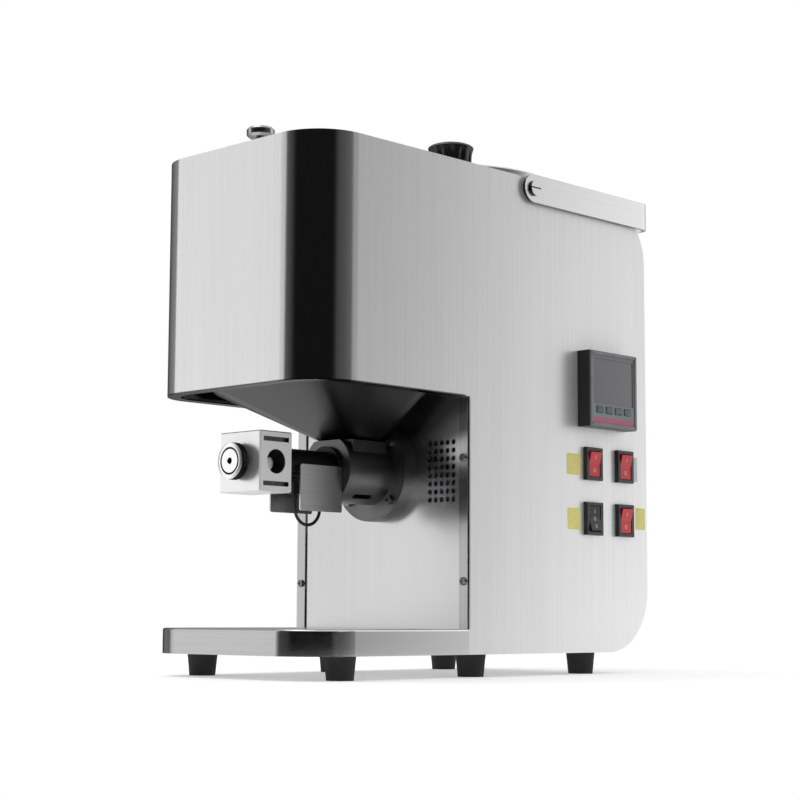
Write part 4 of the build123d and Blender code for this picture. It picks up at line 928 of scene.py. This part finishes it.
class OILPRESS_OT_bezel(bpy.types.Operator):
    """Raised grey frame on the controller's front"""
    bl_idname = "oil_press.bezel"
    bl_label = "Controller frame"

    def execute(self, context):
        low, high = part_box("controller_case")
        side = high.z - low.z - 2 * FRAME_MARGIN
        piece = start(bpy.ops.mesh.primitive_plane_add, size=side)
        bpy.ops.mesh.bevel(offset=FRAME_CORNER, segments=3, affect="VERTICES")
        bpy.ops.mesh.inset(thickness=settings("pieces").bezel)
        bpy.ops.mesh.delete(type="FACE")
        bpy.ops.mesh.select_all(action="SELECT")
        lift(FRAME_RISE)
        face_outwards()
        modify(piece, "BEVEL", width=FRAME_ROUNDING, segments=2, limit_method="ANGLE")
        middle = (low + high) / 2
        put(piece, "controller_frame", "frame", (high.x, middle.y, middle.z),
            turn=(0, math.pi / 2, 0))
        satin("frame_plastic", light=(0.27, 0.27, 0.28), dark=(0.21, 0.21, 0.22),
              roughness=0.42, cells=1600).wear([piece])
        return {"FINISHED"}


class OILPRESS_OT_stickers(bpy.types.Operator):
    """Blank stickers beside the rocker switches"""
    bl_idname = "oil_press.stickers"
    bl_label = "Switch stickers"

    def execute(self, context):
        yellow = settings("finish").sticker
        paper = satin("sticker_yellow", yellow, shade(yellow, 0.86), roughness=0.5, cells=260,
                      coat=0.15, depth=0.05 * MM)
        film = satin("sticker_pale", light=(0.66, 0.68, 0.68), dark=(0.55, 0.57, 0.57),
                     roughness=0.32, cells=260, coat=0.3, depth=0.05 * MM)
        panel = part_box("outer_wrap")[1].x
        low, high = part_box("switch_housings")
        for name, from_front, y, z, width, height in STICKERS:
            piece = start(bpy.ops.mesh.primitive_plane_add, size=1)
            bpy.ops.transform.resize(value=(height, width, 1), center_override=(0, 0, 0))
            bpy.ops.mesh.bevel(offset=STICKER_CORNER, segments=4, affect="VERTICES")
            lift(STICKER_THICKNESS)
            bpy.ops.mesh.inset(thickness=0.25 * MM, depth=0.04 * MM)
            face_outwards()
            place = (panel, (low.y if from_front else high.y) + y, low.z + z)
            put(piece, name, "frame", place, turn=(0, math.pi / 2, 0))
            (film if name == "sticker_clear" else paper).wear([piece])
        return {"FINISHED"}


class OILPRESS_OT_rear(bpy.types.Operator):
    """Cover screws and inlet screws on the back"""
    bl_idname = "oil_press.rear"
    bl_label = "Rear screws"

    def execute(self, context):
        sizes = settings("pieces")
        low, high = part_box("rear_cover")
        places = [(x, high.y, z) for x in (low.x + COVER_SCREW_INSET, high.x - COVER_SCREW_INSET)
                  for z in COVER_SCREW_HEIGHTS]
        screws = self.screws("cover_screw", sizes.cover_screw, COVER_SCREW_HEAD, places)
        low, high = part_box("mains_inlet")
        places = [(x, high.y, (low.z + high.z) / 2)
                  for x in (low.x + INLET_SCREW_INSET, high.x - INLET_SCREW_INSET)]
        screws += self.screws("inlet_screw", sizes.inlet_screw, INLET_SCREW_HEAD, places)
        satin("rear_screws", light=(0.55, 0.55, 0.56), dark=(0.4, 0.4, 0.41), roughness=0.3,
              cells=1200, metallic=1.0).wear(screws)
        return {"FINISHED"}

    def screws(self, name, radius, height, places):
        """Pan-head screws with a cross recess, facing the rear."""
        recess = 0.62 * radius
        piece = lathe([(radius, 0), (radius, 0.4 * height), (0.9 * radius, 0.8 * height),
                       (0.72 * radius, height), (recess, height)], SCREW_VERTICES)
        pick(piece, lambda place: place.xy.length < 1.01 * recess
             and in_stripe(place, math.pi / 2, 0.36))
        widen(0.34)
        pick(piece, lambda place: place.xy.length < 1.01 * recess)
        lift(-0.6 * height)
        widen(0.8)
        close_ends()
        return copy_to(piece, name, places, "frame", (-math.pi / 2, 0, 0))


class OILPRESS_OT_stage(bpy.types.Operator):
    """Pale floor, studio light and the camera"""
    bl_idname = "oil_press.stage"
    bl_label = "Stage"

    def execute(self, context):
        stage = settings("stage")
        level = math.cos(stage.pitch)
        ahead = Vector((-math.sin(stage.azimuth) * level, math.cos(stage.azimuth) * level,
                        math.sin(stage.pitch)))
        right = Vector((math.cos(stage.azimuth), math.sin(stage.azimuth), 0))
        bpy.ops.object.select_all(action="DESELECT")
        self.make_floor(stage)
        self.make_world(stage, ahead, right)
        self.make_softbox(stage)
        self.make_camera(stage, ahead, right)
        bpy.context.scene.view_settings.view_transform = "Standard"
        return {"FINISHED"}

    def make_floor(self, stage):
        """A pale round floor that glows a little, as a lit table does."""
        bpy.ops.mesh.primitive_circle_add(vertices=FLOOR_VERTICES, radius=FLOOR_RADIUS,
                                          fill_type="NGON")
        floor = bpy.context.object
        floor.name = "floor"
        surface = satin("pale_floor", stage.floor, shade(stage.floor, 0.98), 0.9, cells=60)
        surface.set("Specular IOR Level", 0.0)
        surface.set("Emission Color", stage.floor)
        surface.set("Emission Strength", stage.glow)
        surface.wear([floor])

    def make_world(self, stage, ahead, right):
        """Studio tones round the press, white overhead and behind the picture."""
        world = bpy.data.worlds.new("studio")
        bpy.context.scene.world = world
        world.use_nodes = True
        sky = Tree(world.node_tree)
        x, y, z = sky.axes(sky.node("ShaderNodeTexCoord", None, None, "Generated"))
        flat = ahead.xy.normalized()
        towards = x * -flat.x + y * -flat.y
        aside = x * right.x + y * right.y
        turn = aside.maths("ARCTAN2", towards)
        stops = [((angle + 180) / 360, (tone, tone, tone)) for angle, tone in STUDIO_TONES]
        tone = sky.node("ShaderNodeValToRGB", {"stops": stops}, {"Fac": turn / math.tau + 0.5})
        colour = sky.mix(sky.between(z, *SKY_FADE), tone, WHITE)
        seen = sky.node("ShaderNodeLightPath", None, None, "Is Camera Ray")
        background = world.node_tree.nodes["Background"]
        sky.feed(background.inputs["Color"], sky.mix(seen, colour, WHITE))
        sky.feed(background.inputs["Strength"], stage.world)

    def make_softbox(self, stage):
        """One large softbox overhead, aimed at the middle of the press."""
        bpy.ops.object.light_add(type="AREA", location=SOFTBOX_PLACE)
        lamp = bpy.context.object
        lamp.name = "softbox"
        lamp.data.shape = "RECTANGLE"
        lamp.data.size = SOFTBOX_WIDTH
        lamp.data.size_y = SOFTBOX_LENGTH
        lamp.data.energy = stage.softbox
        aim = Vector(SOFTBOX_AIM) - lamp.location
        lamp.rotation_euler = aim.to_track_quat("-Z", "Y").to_euler()

    def make_camera(self, stage, ahead, right):
        """The camera of the photograph, from its place, its way ahead and its roll."""
        bpy.ops.object.camera_add(location=stage.camera)
        camera = bpy.context.object
        camera.data.lens = stage.lens
        camera.data.sensor_width = SENSOR_WIDTH
        camera.data.clip_start = 0.05
        up = right.cross(ahead)
        across = right * math.cos(stage.roll) + up * math.sin(stage.roll)
        upward = up * math.cos(stage.roll) - right * math.sin(stage.roll)
        camera.rotation_euler = Matrix((across, upward, -ahead)).transposed().to_euler()
        bpy.context.scene.camera = camera


class OILPRESS_PT_sidebar(bpy.types.Panel):
    """Buttons of the press in the 3D view's sidebar"""
    bl_label = "Oil press"
    bl_space_type = "VIEW_3D"
    bl_region_type = "UI"
    bl_category = "Oil press"

    def draw(self, context):
        for operator in OPERATORS:
            self.layout.operator(operator.bl_idname)


OPERATORS = (OILPRESS_OT_sheet, OILPRESS_OT_head, OILPRESS_OT_controls, OILPRESS_OT_trim,
             OILPRESS_OT_drive, OILPRESS_OT_filter_knob, OILPRESS_OT_adjuster, OILPRESS_OT_bezel,
             OILPRESS_OT_stickers, OILPRESS_OT_rear, OILPRESS_OT_stage)
GROUPS = {"oil_press_finish": OilPressFinish, "oil_press_pieces": OilPressPieces,
          "oil_press_stage": OilPressStage}
CLASSES = (*GROUPS.values(), *OPERATORS, OILPRESS_PT_sidebar)


def register():
    """Register the classes and their settings."""
    for item in CLASSES:
        bpy.utils.register_class(item)
    for name, group in GROUPS.items():
        setattr(bpy.types.Scene, name, bpy.props.PointerProperty(type=group))


def unregister():
    """Take the classes and their settings away."""
    for name in GROUPS:
        delattr(bpy.types.Scene, name)
    for item in reversed(CLASSES):
        bpy.utils.unregister_class(item)


def main():
    """Make the whole press and its stage."""
    register()
    for operator in OPERATORS:
        group, name = operator.bl_idname.split(".")
        getattr(getattr(bpy.ops, group), name)()


if __name__ == "__main__":
    main()
